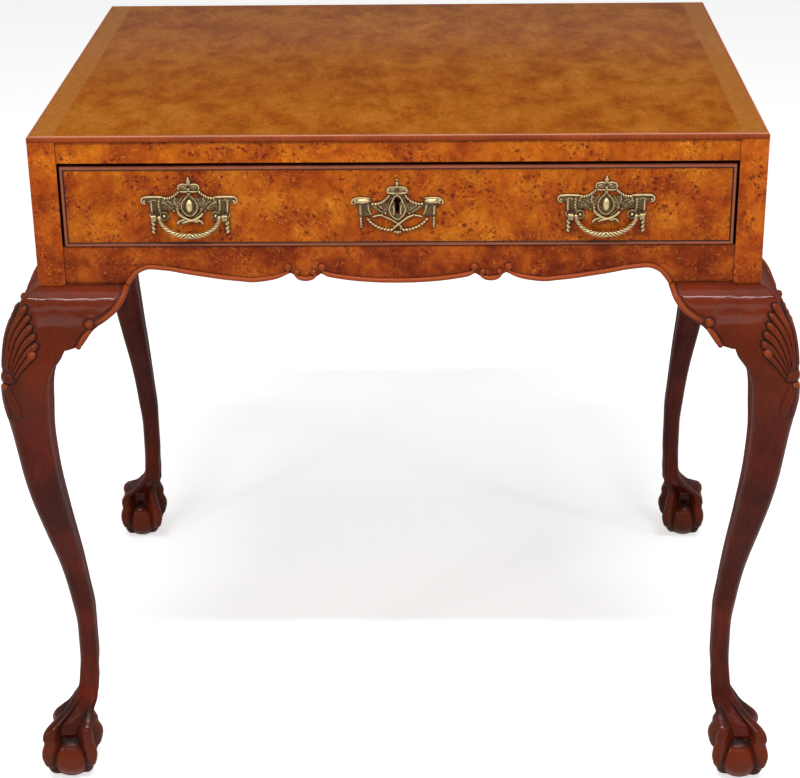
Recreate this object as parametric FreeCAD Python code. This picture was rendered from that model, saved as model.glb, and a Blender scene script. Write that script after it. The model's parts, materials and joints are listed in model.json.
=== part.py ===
"""Tea table: one drawer in a veneered case, on four cabriole legs with ball-and-claw feet.

Lengths are in millimetres and angles in degrees. The origin is on the floor under the
middle of the case. +X runs to the right of a person who faces the drawer, +Y to the back
and +Z up. Every wooden board, every casting and every fixing is a solid of its own.
"""
import FreeCAD, Part
import math
import os

# The case and its frame
case_width = 754.0
case_depth = 577.0
table_height = 762.0
case_height = 162.0
stile_width = 28.5
facing_thickness = 3.0
facing_edge_radius = 0.8
rail_thickness = 22.0
rail_set_back = 1.5
apron_seat = 1.5
tenon_length = 11.0
tenon_thickness = 8.0
tenon_shoulder = 5.0

# The top board, with a lip that covers the frame and a thicker core between the rails
top_lip = 6.5
top_core = 12.0
top_edge_radius = 2.5
top_rail_drop = 29.0
top_rail_shelf = 60.0

# The cabriole leg
knee_swell = 43.6
glue_line = 0.15
ear_length = 66.0
ear_drop = 60.0
foot_offset = 8.0
ball_radius = 27.5
ball_flat = 1.5

# The shaped lower edges of the rails and the beads on them
bead_width = 4.6
bead_proud = 2.0
scroll_radius = 4.0
small_scroll_radius = 3.1
scroll_proud = 3.0

# The drawer
drawer_side_gap = 2.5
drawer_top_gap = 3.3
drawer_bottom_gap = 0.6
apron_height = 41.0
drawer_back_room = 32.0
front_thickness = 20.0
side_thickness = 12.0
side_inset = 1.0
side_top_drop = 3.0
back_thickness = 12.0
back_inset = 8.0
back_top_drop = 8.0
back_housing = 5.0
bottom_thickness = 6.0
bottom_raise = 8.0
bottom_groove = 6.0
cock_bead_width = 4.4
cock_bead_depth = 10.0
cock_bead_proud = 1.7
cock_bead_radius = 1.4
dovetail_length = 9.5
dovetail_count = 3

# What carries, guides and stops the drawer
running_gap = 0.3
guide_gap = 0.7
runner_width = 31.0
runner_thickness = 18.0
guide_height = 20.0
kicker_width = 30.0
kicker_gap = 1.3
stop_gap = 0.4
stop_height = 17.0
stop_width = 12.0

# Glue blocks and the screws that hold the top down
block_size = 24.0
block_length = 60.0
top_screw_radius = 2.1
top_screw_head_radius = 4.2
top_screw_head = 2.6
top_screw_length = 26.0

# The lock
keyhole_height_share = 0.56
keyhole_radius = 3.3
keyhole_slot_width = 3.8
keyhole_slot_drop = 13.6
lock_width = 56.0
lock_drop = 19.0
lock_depth = 9.0
lock_wall = 1.6
lock_cover_thickness = 1.5
lock_flange = 8.0
lock_screw_radius = 1.5
lock_screw_head_radius = 2.8
lock_screw_head = 1.2
lock_screw_length = 9.5
lock_screw_inset = 4.0
bolt_width = 18.0
bolt_thickness = 5.0
bolt_tail_width = 26.0
bolt_tail_height = 15.0
bolt_tail_drop = 17.5
bolt_throw = 8.0
bolt_gap = 0.3
bolt_top_gap = 0.2
strike_width = 44.0
strike_depth = 13.0
strike_thickness = 1.5
strike_gap = 0.6
strike_screw_inset = 5.0
mortise_spare = 2.0

# The pair of drop handles and the escutcheon between them
handle_spacing = 428.0
handle_height_share = 0.512
handle_width = 98.0
handle_rise = 30.3
plate_thickness = 2.0
boss_width = 8.6
boss_height = 14.8
boss_proud = 3.6
ornament_proud = 2.6
swag_radius = 1.2
bail_half_span = 31.0
bail_drop = 20.0
bail_radius = 2.5
bail_stand_off = 7.5
bail_knob_radius = 2.6
pivot_drop = 11.0
pivot_radius = 1.5
pivot_clearance = 0.06
knuckle_size = 7.0
knuckle_length = 5.0
knuckle_gap = 0.5
knuckle_wall = 1.0
knuckle_round_share = 0.6
stem_radius = 2.0
stem_clearance = 0.1
nut_radius = 5.0
nut_thickness = 3.0
stem_spare = 1.5
escutcheon_width = 91.0
escutcheon_pin_radius = 0.8
escutcheon_pin_length = 11.0
escutcheon_pin_head = 1.6

# One overrun serves every cut, and lengths that differ by less than tiny are alike
overrun = 5.0
tiny = 0.001

# The leg's sections: height, outer face, inner face and corner rounding, as shares of the
# leg's height, the knee's swell, the stile's width and the section's own side
leg_section_shares = (
    (1.000, -0.10, 1.000, 0.06),
    (0.984, -0.38, 1.000, 0.09),
    (0.966, -0.53, 1.000, 0.12),
    (0.944, -0.69, 1.000, 0.15),
    (0.917, -0.84, 1.000, 0.18),
    (0.897, -0.92, 0.990, 0.20),
    (0.872, -0.97, 0.640, 0.22),
    (0.850, -0.99, 0.410, 0.24),
    (0.828, -1.00, 0.290, 0.26),
    (0.795, -0.98, 0.230, 0.28),
    (0.740, -0.87, 0.185, 0.30),
    (0.650, -0.70, 0.255, 0.32),
    (0.525, -0.363, 0.570, 0.34),
    (0.433, -0.070, 0.800, 0.37),
    (0.363, 0.075, 0.950, 0.40),
    (0.290, 0.156, 0.990, 0.43),
    (0.240, 0.150, 0.975, 0.43),
    (0.198, 0.120, 0.895, 0.42),
    (0.165, 0.010, 0.850, 0.38),
    (0.135, -0.150, 0.770, 0.33),
    (0.108, -0.370, 0.560, 0.28),
    (0.086, -0.510, 0.370, 0.26),
    (0.070, -0.560, 0.300, 0.25),
)

# The knee's front profile, which the ears beside it carry on: height and swell shares
knee_profile_shares = (
    (1.0025, -0.06),
    (1.000, -0.10),
    (0.992, -0.25),
    (0.984, -0.38),
    (0.966, -0.53),
    (0.944, -0.69),
    (0.917, -0.84),
    (0.897, -0.92),
    (0.885, -0.95),
)

# A talon's stations: lean towards the ankle, then its reach, height, half thickness and depth
# towards the ball, over the ball's radius
talon_station_shares = (
    (1.00, 0.13, 4.10, 0.16, 0.30),
    (0.66, 0.55, 3.20, 0.20, 0.50),
    (0.32, 0.98, 2.40, 0.24, 0.62),
    (0.10, 1.24, 1.90, 0.28, 0.68),
    (0.00, 1.34, 1.50, 0.29, 0.68),
    (0.00, 1.28, 0.98, 0.24, 0.52),
    (0.00, 1.04, 0.42, 0.14, 0.28),
)
talon_points = 12
ankle_height_share = 0.19

# The free edge of an ear, from its far end to the leg: length and drop shares
ear_edge_shares = (
    (1.000, 0.000),
    (0.985, 0.080),
    (0.930, 0.200),
    (0.843, 0.345),
    (0.738, 0.458),
    (0.610, 0.555),
    (0.487, 0.635),
    (0.374, 0.758),
    (0.280, 0.897),
    (0.224, 0.975),
)
ear_tip_shares = ((0.123, 0.975), (0.000, 1.000))

# The front apron's lower edge in three stretches between its cusps: shares of the distance
# from the middle to the ear, and of the apron's height
apron_middle_shares = (
    (0.000, 0.012),
    (0.131, 0.040),
    (0.200, 0.100),
    (0.256, 0.180),
    (0.284, 0.260),
)
apron_lobe_shares = (
    (0.284, 0.260),
    (0.302, 0.180),
    (0.323, 0.095),
    (0.353, 0.073),
    (0.376, 0.180),
    (0.399, 0.280),
)
apron_wing_shares = (
    (0.399, 0.280),
    (0.435, 0.170),
    (0.479, 0.085),
    (0.532, 0.037),
    (0.600, 0.075),
    (0.710, 0.180),
    (0.830, 0.340),
    (0.900, 0.405),
    (0.945, 0.370),
    (0.973, 0.255),
    (0.989, 0.110),
    (1.000, 0.000),
)
scroll_place_shares = ((0.279, 0.455), (0.408, 0.455))
small_scroll_place_shares = ((0.312, 0.310), (0.374, 0.310))

# The plainer lower edge of the side and back rails, in the same shares
rail_edge_shares = (
    (0.000, 0.050),
    (0.300, 0.085),
    (0.550, 0.190),
    (0.740, 0.330),
    (0.860, 0.400),
    (0.930, 0.355),
    (0.968, 0.235),
    (0.988, 0.105),
    (1.000, 0.000),
)

# Places of glue blocks and screws along a rail, from its middle, over its half length
block_place_shares = (-0.55, 0.0, 0.55)
screw_place_shares = (-0.7, 0.7)

# Dovetails: half heights at the root and at the end, over the pitch
dovetail_root_share = 0.22
dovetail_end_share = 0.36

# Outlines of the brass plates over half the width and over the rise above the boss
shield_shares = (
    (0.000, 0.400),
    (0.060, 0.330),
    (0.140, 0.130),
    (0.260, -0.020),
    (0.255, -0.170),
    (0.130, -0.390),
    (0.000, -0.470),
)
shoulder_shares = (
    (0.100, 0.230),
    (0.300, 0.190),
    (0.480, 0.280),
    (0.620, 0.290),
    (0.620, -0.240),
    (0.440, -0.120),
    (0.240, -0.130),
)
crown_shares = (
    (0.000, 0.750),
    (0.190, 0.760),
    (0.230, 0.650),
    (0.195, 0.500),
    (0.000, 0.490),
)
finial_shares = (
    (0.000, 1.000),
    (0.022, 0.930),
    (0.030, 0.860),
    (0.085, 0.760),
    (0.085, 0.720),
    (0.000, 0.720),
)
neck_shares = (
    (0.000, 0.500),
    (0.045, 0.500),
    (0.045, 0.360),
    (0.000, 0.360),
)
capital_shares = (
    (0.480, 0.385),
    (0.900, 0.385),
    (0.985, 0.310),
    (0.985, 0.180),
    (0.900, 0.110),
    (0.800, 0.180),
    (0.480, 0.290),
)
column_shares = (
    (0.560, 0.300),
    (0.830, 0.300),
    (0.790, -0.150),
    (0.800, -0.470),
    (0.560, -0.470),
)
tassel_shares = (
    (0.700, -0.440),
    (0.800, -0.440),
    (0.800, -0.700),
    (0.755, -0.920),
    (0.720, -0.920),
    (0.690, -0.680),
)
ribbon_shares = (
    (0.255, -0.130),
    (0.260, -0.190),
    (-0.160, -0.570),
    (-0.220, -0.520),
    (-0.060, -0.400),
)
swag_shares = ((0.200, 0.500), (0.330, 0.300), (0.500, 0.270))
fixed_bail_shares = ((0.800, -0.360), (0.520, -0.720), (0.000, -1.000))
escutcheon_pin_place_shares = (0.900, 0.230)

# Values that follow from the sizes above
half_width = case_width / 2
half_depth = case_depth / 2
leg_height = table_height - case_height
ear_top = leg_height + apron_seat
apron_top = ear_top + apron_height
frame_top = table_height - top_lip
core_bottom = frame_top - top_core
top_rail_bottom = table_height - top_rail_drop
rail_inner = rail_set_back + rail_thickness
front_span = half_width - stile_width
side_span = half_depth - stile_width
tenon_front = rail_set_back + (rail_thickness - tenon_thickness) / 2
tenon_back = tenon_front + tenon_thickness

drawer_half = front_span - drawer_side_gap
drawer_bottom = apron_top + drawer_bottom_gap
drawer_top = top_rail_bottom - drawer_top_gap
drawer_height = drawer_top - drawer_bottom
drawer_face = -half_depth + rail_set_back
front_back_face = drawer_face + front_thickness
drawer_back_end = half_depth - rail_inner - drawer_back_room
side_outer = drawer_half - side_inset
side_inner = side_outer - side_thickness
side_top = drawer_top - side_top_drop
side_height = side_top - drawer_bottom
panel_bottom = drawer_bottom + bottom_raise
panel_top = panel_bottom + bottom_thickness
runner_top = drawer_bottom - running_gap

keyhole_z = drawer_bottom + keyhole_height_share * drawer_height
lock_front = front_back_face - lock_depth
lock_bottom = keyhole_z - lock_drop
cavity_front = lock_front + lock_wall
bolt_front = cavity_front + bolt_gap
bolt_back = bolt_front + bolt_thickness
bolt_top = drawer_top - bolt_top_gap
mortise_top = top_rail_bottom + bolt_throw - drawer_top_gap + mortise_spare

boss_z = drawer_bottom + handle_height_share * drawer_height
plate_front = drawer_face - plate_thickness
pivot_y = drawer_face - bail_stand_off
pivot_z = boss_z - pivot_drop
knuckle_start = bail_half_span + bail_knob_radius + knuckle_gap
knuckle_end = knuckle_start + knuckle_length
nut_face = front_back_face + nut_thickness


def vector(x, y, z):
    """A point or direction."""
    return FreeCAD.Vector(x, y, z)


def block(x0, x1, y0, y1, z0, z1):
    """A box between two corners."""
    return Part.makeBox(x1 - x0, y1 - y0, z1 - z0, vector(x0, y0, z0))


def rod(radius, start, end):
    """A round bar between two points."""
    along = end.sub(start)
    return Part.makeCylinder(radius, along.Length, start, along)


def fuse(shapes):
    """One solid from shapes that touch or overlap, or a group of those that don't."""
    joined = shapes[0].fuse(shapes[1:]).removeSplitter()
    return joined.Solids[0] if len(joined.Solids) == 1 else joined


def mirrored(shape, x=False, y=False):
    """The shape on the other side of the table's middle planes."""
    if x:
        shape = shape.mirror(vector(0, 0, 0), vector(1, 0, 0))
    if y:
        shape = shape.mirror(vector(0, 0, 0), vector(0, 1, 0))
    return shape


def moved(shape, move):
    """A copy of the shape, moved."""
    copy = shape.copy()
    copy.translate(move)
    return copy


def save(name, shapes):
    """Write one named piece, or one group of like pieces."""
    shapes = shapes if isinstance(shapes, list) else [shapes]
    solids = [solid for shape in shapes for solid in shape.Solids]
    for solid in solids:
        if not solid.isValid():
            raise ValueError(f"{name} has a solid that isn't valid")
    volume = sum(solid.Volume for solid in solids)
    print(f"{name}: {len(solids)} solid(s), {volume:.0f} mm3")
    shape = solids[0] if len(solids) == 1 else Part.makeCompound(solids)
    shape.exportStep(f"parts/{name}.step")


def curve(points):
    """A smooth edge through points."""
    spline = Part.BSplineCurve()
    spline.interpolate(points)
    return spline.toShape()


def ring(points):
    """A smooth closed wire through points."""
    spline = Part.BSplineCurve()
    spline.interpolate(Points=points, PeriodicFlag=True)
    return Part.Wire(spline.toShape())


def face_of(edges):
    """A flat face inside edges that meet end to end."""
    return Part.Face(Part.Wire(Part.__sortEdges__(edges)))


def polygon(points):
    """A flat face with straight sides."""
    return Part.Face(Part.makePolygon(list(points) + [points[0]]))


def rounded_square(low, high, radius, z):
    """A level square wire on the leg's diagonal, with rounded corners."""
    edges = []
    inner_low = low + radius
    inner_high = high - radius
    reach = radius * math.sqrt(0.5)
    corners = (
        (inner_high, inner_low, 1, -1),
        (inner_high, inner_high, 1, 1),
        (inner_low, inner_high, -1, 1),
        (inner_low, inner_low, -1, -1),
    )
    for number, (x, y, sx, sy) in enumerate(corners):
        if number % 2 == 0:
            start, end = vector(x, y + sy * radius, z), vector(x + sx * radius, y, z)
        else:
            start, end = vector(x + sx * radius, y, z), vector(x, y + sy * radius, z)
        middle = vector(x + sx * reach, y + sy * reach, z)
        if edges:
            edges.append(Part.makeLine(last, start))
        else:
            first = start
        edges.append(Part.Arc(start, middle, end).toShape())
        last = end
    edges.append(Part.makeLine(last, first))
    return Part.Wire(edges)


def to_corner(shape):
    """Move a shape from the case corner's own frame to the front left of the table."""
    shape.translate(vector(-half_width, -half_depth, 0))
    return shape


def leg_shaft():
    """The knee, shank and ankle: a loft through rounded squares, planed flat where the ears seat."""
    wires = []
    for height, outer, inner, corner in leg_section_shares:
        low = outer * knee_swell
        high = inner * stile_width
        wires.append(rounded_square(low, high, corner * (high - low), height * leg_height))
    shaft = Part.makeLoft(wires, True, False)
    reach = knee_swell + stile_width
    return shaft.common(block(-reach, stile_width, -reach, stile_width, 0, leg_height))


def talon(angle, ankle):
    """One claw, from the ankle over the ball to its nail."""
    toward = vector(math.cos(angle), math.sin(angle), 0)
    aside = vector(-math.sin(angle), math.cos(angle), 0)
    foot = vector(-foot_offset, -foot_offset, 0)
    centres = []
    for lean, reach, height, *_ in talon_station_shares:
        centre = foot + (ankle - foot) * lean + toward * (reach * ball_radius)
        centre.z = height * ball_radius
        centres.append(centre)
    wires = []
    for number, centre in enumerate(centres):
        before = centres[max(number - 1, 0)]
        after = centres[min(number + 1, len(centres) - 1)]
        along = (after - before).normalize()
        across = (aside - along * aside.dot(along)).normalize()
        outward = along.cross(across)
        thickness, depth = [share * ball_radius for share in talon_station_shares[number][3:]]
        points = []
        for step in range(talon_points):
            turn = 2 * math.pi * step / talon_points
            rise = thickness if math.sin(turn) > 0 else depth
            points.append(centre + across * (thickness * math.cos(turn)) + outward * (rise * math.sin(turn)))
        wires.append(ring(points))
    return Part.makeLoft(wires, True, False)


def leg_below_post():
    """The front left leg up to its post, with its foot, in the corner's frame."""
    ball = Part.makeSphere(ball_radius, vector(-foot_offset, -foot_offset, ball_radius - ball_flat))
    ground = 2 * ball_radius
    ball = ball.common(block(-ground, ground, -ground, ground, 0, 2 * ground))
    ankles = [section for section in leg_section_shares if section[0] > ankle_height_share]
    _, outer, inner, _ = ankles[-1]
    middle = (outer * knee_swell + inner * stile_width) / 2
    ankle = vector(middle, middle, 0)
    talons = [talon(math.radians(45 + 90 * turn), ankle) for turn in range(4)]
    return fuse([leg_shaft(), ball] + talons)


def post(cuts):
    """The square post on top of a leg, less the mortises."""
    square = block(facing_thickness, stile_width, facing_thickness, stile_width, leg_height, frame_top)
    for cut in cuts:
        square = square.cut(cut)
    return square


def tenon_heights():
    """Lowest and highest level of the tenon of each kind of rail."""
    return {
        "apron": (ear_top + tenon_shoulder, apron_top - tenon_shoulder),
        "top_rail": (top_rail_bottom + tenon_shoulder, frame_top - tenon_shoulder),
        "side": (ear_top + tenon_shoulder, frame_top - tenon_shoulder),
    }


def front_mortises():
    """What the tenons take out of a front post, in the corner's frame."""
    heights = tenon_heights()
    start = stile_width - tenon_length
    end = stile_width + overrun
    low, high = heights["apron"]
    cuts = [block(start, end, tenon_front, tenon_back, low, high)]
    low, high = heights["top_rail"]
    cuts.append(block(start, end, tenon_front, tenon_back, low, high))
    low, high = heights["side"]
    cuts.append(block(tenon_front, tenon_back, start, end, low, high))
    return cuts


def back_mortises():
    """What the tenons take out of a back post, in the corner's frame."""
    low, high = tenon_heights()["side"]
    start = stile_width - tenon_length
    end = stile_width + overrun
    return [
        block(start, end, tenon_front, tenon_back, low, high),
        block(tenon_front, tenon_back, start, end, low, high),
    ]


def make_legs():
    """Four legs, of which the back pair has a mortise for the back rail."""
    leg = leg_below_post()
    front = to_corner(fuse([leg, post(front_mortises())]))
    back = to_corner(fuse([leg, post(back_mortises())]))
    save("leg_front_left", front)
    save("leg_front_right", mirrored(front, x=True))
    save("leg_back_left", mirrored(back, y=True))
    save("leg_back_right", mirrored(back, x=True, y=True))


def make_facings():
    """The veneered facing on the two outer faces of each corner post."""
    outer = block(0, stile_width, 0, stile_width, leg_height, frame_top)
    edge = [e for e in outer.Edges if e.CenterOfMass.x == 0 and e.CenterOfMass.y == 0]
    outer = outer.makeFillet(facing_edge_radius, edge)
    inner = block(facing_thickness, stile_width + overrun, facing_thickness, stile_width + overrun,
                  leg_height - overrun, frame_top + overrun)
    facing = to_corner(outer.cut(inner))
    save("stile_front_left", facing)
    save("stile_front_right", mirrored(facing, x=True))
    save("stile_back_left", mirrored(facing, y=True))
    save("stile_back_right", mirrored(facing, x=True, y=True))


def make_ears():
    """The brackets beside the knees: the knee's profile, cut to the bracket's outline."""
    start = stile_width + glue_line
    end = stile_width + ear_length
    profile = []
    for height, swell in knee_profile_shares:
        profile.append(vector(0, swell * knee_swell, height * leg_height))
    profile[0].z = ear_top
    low = profile[-1].z
    section = face_of([
        curve(profile),
        Part.makeLine(profile[-1], vector(0, rail_inner, low)),
        Part.makeLine(vector(0, rail_inner, low), vector(0, rail_inner, ear_top)),
        Part.makeLine(vector(0, rail_inner, ear_top), profile[0]),
    ])
    section.translate(vector(start, 0, 0))
    bar = section.extrude(vector(end - start, 0, 0))

    front = -knee_swell - overrun
    depth = knee_swell + rail_inner + 2 * overrun
    edge, tip = [
        [vector(stile_width + x * ear_length, front, ear_top - drop * ear_drop) for x, drop in shares]
        for shares in (ear_edge_shares, ear_tip_shares)
    ]
    top_far = edge[0]
    top_near = vector(stile_width, front, ear_top)
    outline = face_of([
        curve(edge),
        Part.makeLine(edge[-1], tip[0]),
        Part.makeLine(tip[0], tip[1]),
        Part.makeLine(tip[1], top_near),
        Part.makeLine(top_near, top_far),
    ])
    front_ear = bar.common(outline.extrude(vector(0, depth, 0)))
    side_ear = front_ear.mirror(vector(0, 0, 0), vector(1, -1, 0))
    to_corner(front_ear)
    to_corner(side_ear)
    save("ear_front_left", front_ear)
    save("ear_front_right", mirrored(front_ear, x=True))
    save("ear_back_left", mirrored(front_ear, y=True))
    save("ear_back_right", mirrored(front_ear, x=True, y=True))
    save("ear_left_front", side_ear)
    save("ear_left_back", mirrored(side_ear, y=True))
    save("ear_right_front", mirrored(side_ear, x=True))
    save("ear_right_back", mirrored(side_ear, x=True, y=True))


def edge_points(shares, reach):
    """Points of a rail's lower edge in the plane y = 0, from shares of the reach and height."""
    return [vector(x * reach, 0, ear_top + rise * apron_height) for x, rise in shares]


def flipped(points):
    """The same points on the other side of the middle, in reverse order."""
    return [vector(-point.x, point.y, point.z) for point in reversed(points)]


def board_with_edge(half_length, stretches, top):
    """A board on edge whose lower edge follows the stretches and is level beyond them."""
    edges = [curve(points) for points in stretches]
    left = stretches[0][0]
    right = stretches[-1][-1]
    corners = [
        right,
        vector(half_length, 0, right.z),
        vector(half_length, 0, top),
        vector(-half_length, 0, top),
        vector(-half_length, 0, left.z),
        left,
    ]
    for start, end in zip(corners, corners[1:]):
        edges.append(Part.makeLine(start, end))
    return face_of(edges).extrude(vector(0, rail_thickness, 0))


def bead_strip(points):
    """A bead along one stretch of a lower edge, standing out from the face behind it."""
    raised = []
    for number, point in enumerate(points):
        before = points[max(number - 1, 0)]
        after = points[min(number + 1, len(points) - 1)]
        along = (after - before).normalize()
        raised.append(point + vector(-along.z, 0, along.x) * bead_width)
    strip = face_of([
        curve(points),
        Part.makeLine(points[-1], raised[-1]),
        curve(list(reversed(raised))),
        Part.makeLine(raised[0], points[0]),
    ])
    return strip.extrude(vector(0, -bead_proud, 0))


def stub_tenons(half_length, low, high):
    """A pair of tenons on the ends of a rail whose outer face lies at y = 0."""
    front = tenon_front - rail_set_back
    back = front + tenon_thickness
    right = block(half_length, half_length + tenon_length, front, back, low, high)
    return [right, mirrored(right, x=True)]


def on_front(shape):
    """Move a rail from the plane y = 0 to the front of the case."""
    shape.translate(vector(0, -half_depth + rail_set_back, 0))
    return shape


def on_side(shape, right):
    """Turn a rail from the plane y = 0 to a side of the case."""
    turn = 90 if right else -90
    place = half_width - rail_set_back
    shape.rotate(vector(0, 0, 0), vector(0, 0, 1), turn)
    shape.translate(vector(place if right else -place, 0, 0))
    return shape


def on_back(shape):
    """Turn a rail from the plane y = 0 to the back of the case."""
    shape.rotate(vector(0, 0, 0), vector(0, 0, 1), 180)
    shape.translate(vector(0, half_depth - rail_set_back, 0))
    return shape


def make_apron():
    """The shaped board below the drawer, with a bead and four pairs of scroll ends."""
    reach = half_width - stile_width - ear_length
    middle = edge_points(apron_middle_shares, reach)
    lobe = edge_points(apron_lobe_shares, reach)
    wing = edge_points(apron_wing_shares, reach)
    whole_middle = flipped(middle) + middle[1:]
    stretches = [flipped(wing), flipped(lobe), whole_middle, lobe, wing]
    board = board_with_edge(front_span, stretches, apron_top)
    low, high = tenon_heights()["apron"]
    save("apron_front", on_front(fuse([board] + stub_tenons(front_span, low, high))))

    pieces = [bead_strip(points) for points in stretches]
    scrolls = ((scroll_place_shares, scroll_radius), (small_scroll_place_shares, small_scroll_radius))
    for places, radius in scrolls:
        for x, rise in places:
            for side in (-1, 1):
                centre = vector(side * x * reach, 0, ear_top + rise * apron_height)
                pieces.append(rod(radius, centre, centre - vector(0, scroll_proud, 0)))
    save("apron_bead", on_front(fuse(pieces)))


def make_shaped_rails():
    """The side rails and the back rail, with their tenons, and the beads of the sides."""
    low, high = tenon_heights()["side"]
    reach = side_span - ear_length
    half = edge_points(rail_edge_shares, reach)
    stretch = flipped(half) + half[1:]
    side = fuse([board_with_edge(side_span, [stretch], frame_top)] + stub_tenons(side_span, low, high))
    bead = bead_strip(stretch)
    for name, right in (("left", False), ("right", True)):
        save(f"side_rail_{name}", on_side(side.copy(), right))
        save(f"side_bead_{name}", on_side(bead.copy(), right))

    half = edge_points(rail_edge_shares, front_span - ear_length)
    stretch = flipped(half) + half[1:]
    back = fuse([board_with_edge(front_span, [stretch], frame_top)] + stub_tenons(front_span, low, high))
    save("back_rail", on_back(back))


def make_top_rail():
    """The rail above the drawer, with a shelf under the top's core and the bolt's mortise."""
    face = -half_depth + rail_set_back
    inner = -half_depth + rail_inner
    front = block(-front_span, front_span, face, inner, top_rail_bottom, frame_top)
    shelf = block(-front_span, front_span, inner, -half_depth + top_rail_shelf, top_rail_bottom, core_bottom)
    low, high = tenon_heights()["top_rail"]
    tenons = [on_front(tenon) for tenon in stub_tenons(front_span, low, high)]
    rail = fuse([front, shelf] + tenons)
    half = bolt_width / 2 + strike_gap
    mortise = block(-half, half, bolt_front - strike_gap, bolt_back + strike_gap,
                    top_rail_bottom - overrun, mortise_top)
    plate = strike_block(0)
    rail = rail.cut(mortise).cut(strike_block(overrun))
    plate = plate.cut(mortise)
    for screw in strike_screws():
        rail = rail.cut(screw)
        plate = plate.cut(screw)
    save("top_front_rail", rail)
    save("strike_plate", plate)
    save("strike_screws", strike_screws())


def strike_block(extra):
    """The strike plate's outer shape, or with extra the recess that it lies in."""
    middle = (bolt_front + bolt_back) / 2
    return block(-strike_width / 2, strike_width / 2, middle - strike_depth / 2, middle + strike_depth / 2,
                 top_rail_bottom - extra, top_rail_bottom + strike_thickness)


def make_top():
    """The top board: a lip over the whole frame and a core that fits inside the rails."""
    lip = block(-half_width, half_width, -half_depth, half_depth, frame_top, table_height)
    rim = [e for e in lip.Edges if e.CenterOfMass.z == table_height]
    lip = lip.makeFillet(top_edge_radius, rim)
    x = half_width - rail_inner
    y = half_depth - rail_inner
    core = block(-x, x, -y, y, core_bottom, frame_top)
    top = fuse([lip, core])
    for sx in (-1, 1):
        for sy in (-1, 1):
            corner = block(0, stile_width, 0, stile_width, core_bottom - overrun, frame_top)
            to_corner(corner)
            top = top.cut(mirrored(corner, x=sx > 0, y=sy > 0))
    for screw in top_screws():
        top = top.cut(screw)
    save("top_board", top)


def clear_of_posts(shape):
    """A piece on the right side of the case, notched round the two posts there."""
    corner = to_corner(block(0, stile_width, 0, stile_width, leg_height, frame_top))
    for at_back in (False, True):
        shape = shape.cut(mirrored(corner, x=True, y=at_back))
    return shape


def make_drawer_ways():
    """Runners, side guides, kickers and the back stops for the drawer."""
    x1 = half_width - rail_inner
    y1 = half_depth - rail_inner
    runner = clear_of_posts(block(x1 - runner_width, x1, -y1, y1, runner_top - runner_thickness, runner_top))
    guide = clear_of_posts(block(side_outer + guide_gap, x1, -y1, y1, runner_top, runner_top + guide_height))
    kicker = clear_of_posts(block(x1 - kicker_width, x1, -half_depth + top_rail_shelf, y1,
                                  side_top + kicker_gap, core_bottom))
    for screw in top_screws():
        kicker = kicker.cut(screw)
    stop_x = side_outer - side_thickness / 2
    stop = block(stop_x - stop_width / 2, stop_x + stop_width / 2, drawer_back_end + stop_gap, y1,
                 runner_top, runner_top + stop_height)
    for name, shape in (("drawer_runner", runner), ("drawer_guide", guide), ("kicker", kicker)):
        save(f"{name}_right", shape)
        save(f"{name}_left", mirrored(shape, x=True))
    save("drawer_stops", [stop, mirrored(stop, x=True)])


def make_glue_blocks():
    """Triangular glue blocks under the top along the back rail, and beside the posts."""
    inner = half_depth - rail_inner
    section = polygon([
        vector(-block_length / 2, inner, core_bottom),
        vector(-block_length / 2, inner - block_size, core_bottom),
        vector(-block_length / 2, inner, core_bottom - block_size),
    ])
    one = section.extrude(vector(block_length, 0, 0))
    save("top_glue_blocks", [moved(one, vector(share * front_span, 0, 0)) for share in block_place_shares])

    near = rail_inner
    far = rail_inner + block_size
    bottom = ear_top + tenon_shoulder
    corner = polygon([vector(near, near, bottom), vector(far, near, bottom), vector(near, far, bottom)])
    corner = corner.extrude(vector(0, 0, runner_top - runner_thickness - bottom))
    corner = corner.cut(block(0, stile_width, 0, stile_width, leg_height, frame_top))
    to_corner(corner)
    corners = [mirrored(corner, x=flip_x, y=flip_y) for flip_x in (False, True) for flip_y in (False, True)]
    save("corner_glue_blocks", corners)


def screw_axes():
    """Where the top's screws rise through the kickers: x, y of each."""
    x = half_width - rail_inner - kicker_width / 2
    return [(side * x, share * side_span) for side in (-1, 1) for share in screw_place_shares]


def screw_start():
    """The level of the underside of the screws' heads, at the kickers' underside."""
    return side_top + kicker_gap


def screw_shanks():
    """The shanks of the screws that hold the top."""
    z = screw_start()
    end = z + top_screw_length
    return [rod(top_screw_radius, vector(x, y, z), vector(x, y, end)) for x, y in screw_axes()]


def top_screws():
    """Countersunk screws up through the kickers into the top board."""
    z = screw_start()
    screws = []
    for (x, y), shank in zip(screw_axes(), screw_shanks()):
        head = Part.makeCone(top_screw_head_radius, top_screw_radius, top_screw_head, vector(x, y, z))
        screws.append(fuse([shank, head]))
    return screws


def strike_screws():
    """Two screws up through the strike plate into the top rail."""
    middle = (bolt_front + bolt_back) / 2
    screws = []
    for side in (-1, 1):
        x = side * (strike_width / 2 - strike_screw_inset)
        screws.append(wood_screw(vector(x, middle, top_rail_bottom), vector(0, 0, 1)))
    return screws


def wood_screw(start, direction):
    """A small countersunk screw whose head's face lies at the start."""
    end = start + direction * lock_screw_length
    shank = rod(lock_screw_radius, start, end)
    head = Part.makeCone(lock_screw_head_radius, lock_screw_radius, lock_screw_head, start, direction)
    return fuse([shank, head])


def keyhole(y0, y1):
    """The keyhole's round hole and slot, from one level of y to another."""
    hole = rod(keyhole_radius, vector(0, y0, keyhole_z), vector(0, y1, keyhole_z))
    half = keyhole_slot_width / 2
    slot = block(-half, half, y0, y1, keyhole_z - keyhole_slot_drop, keyhole_z)
    return fuse([hole, slot])


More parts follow.
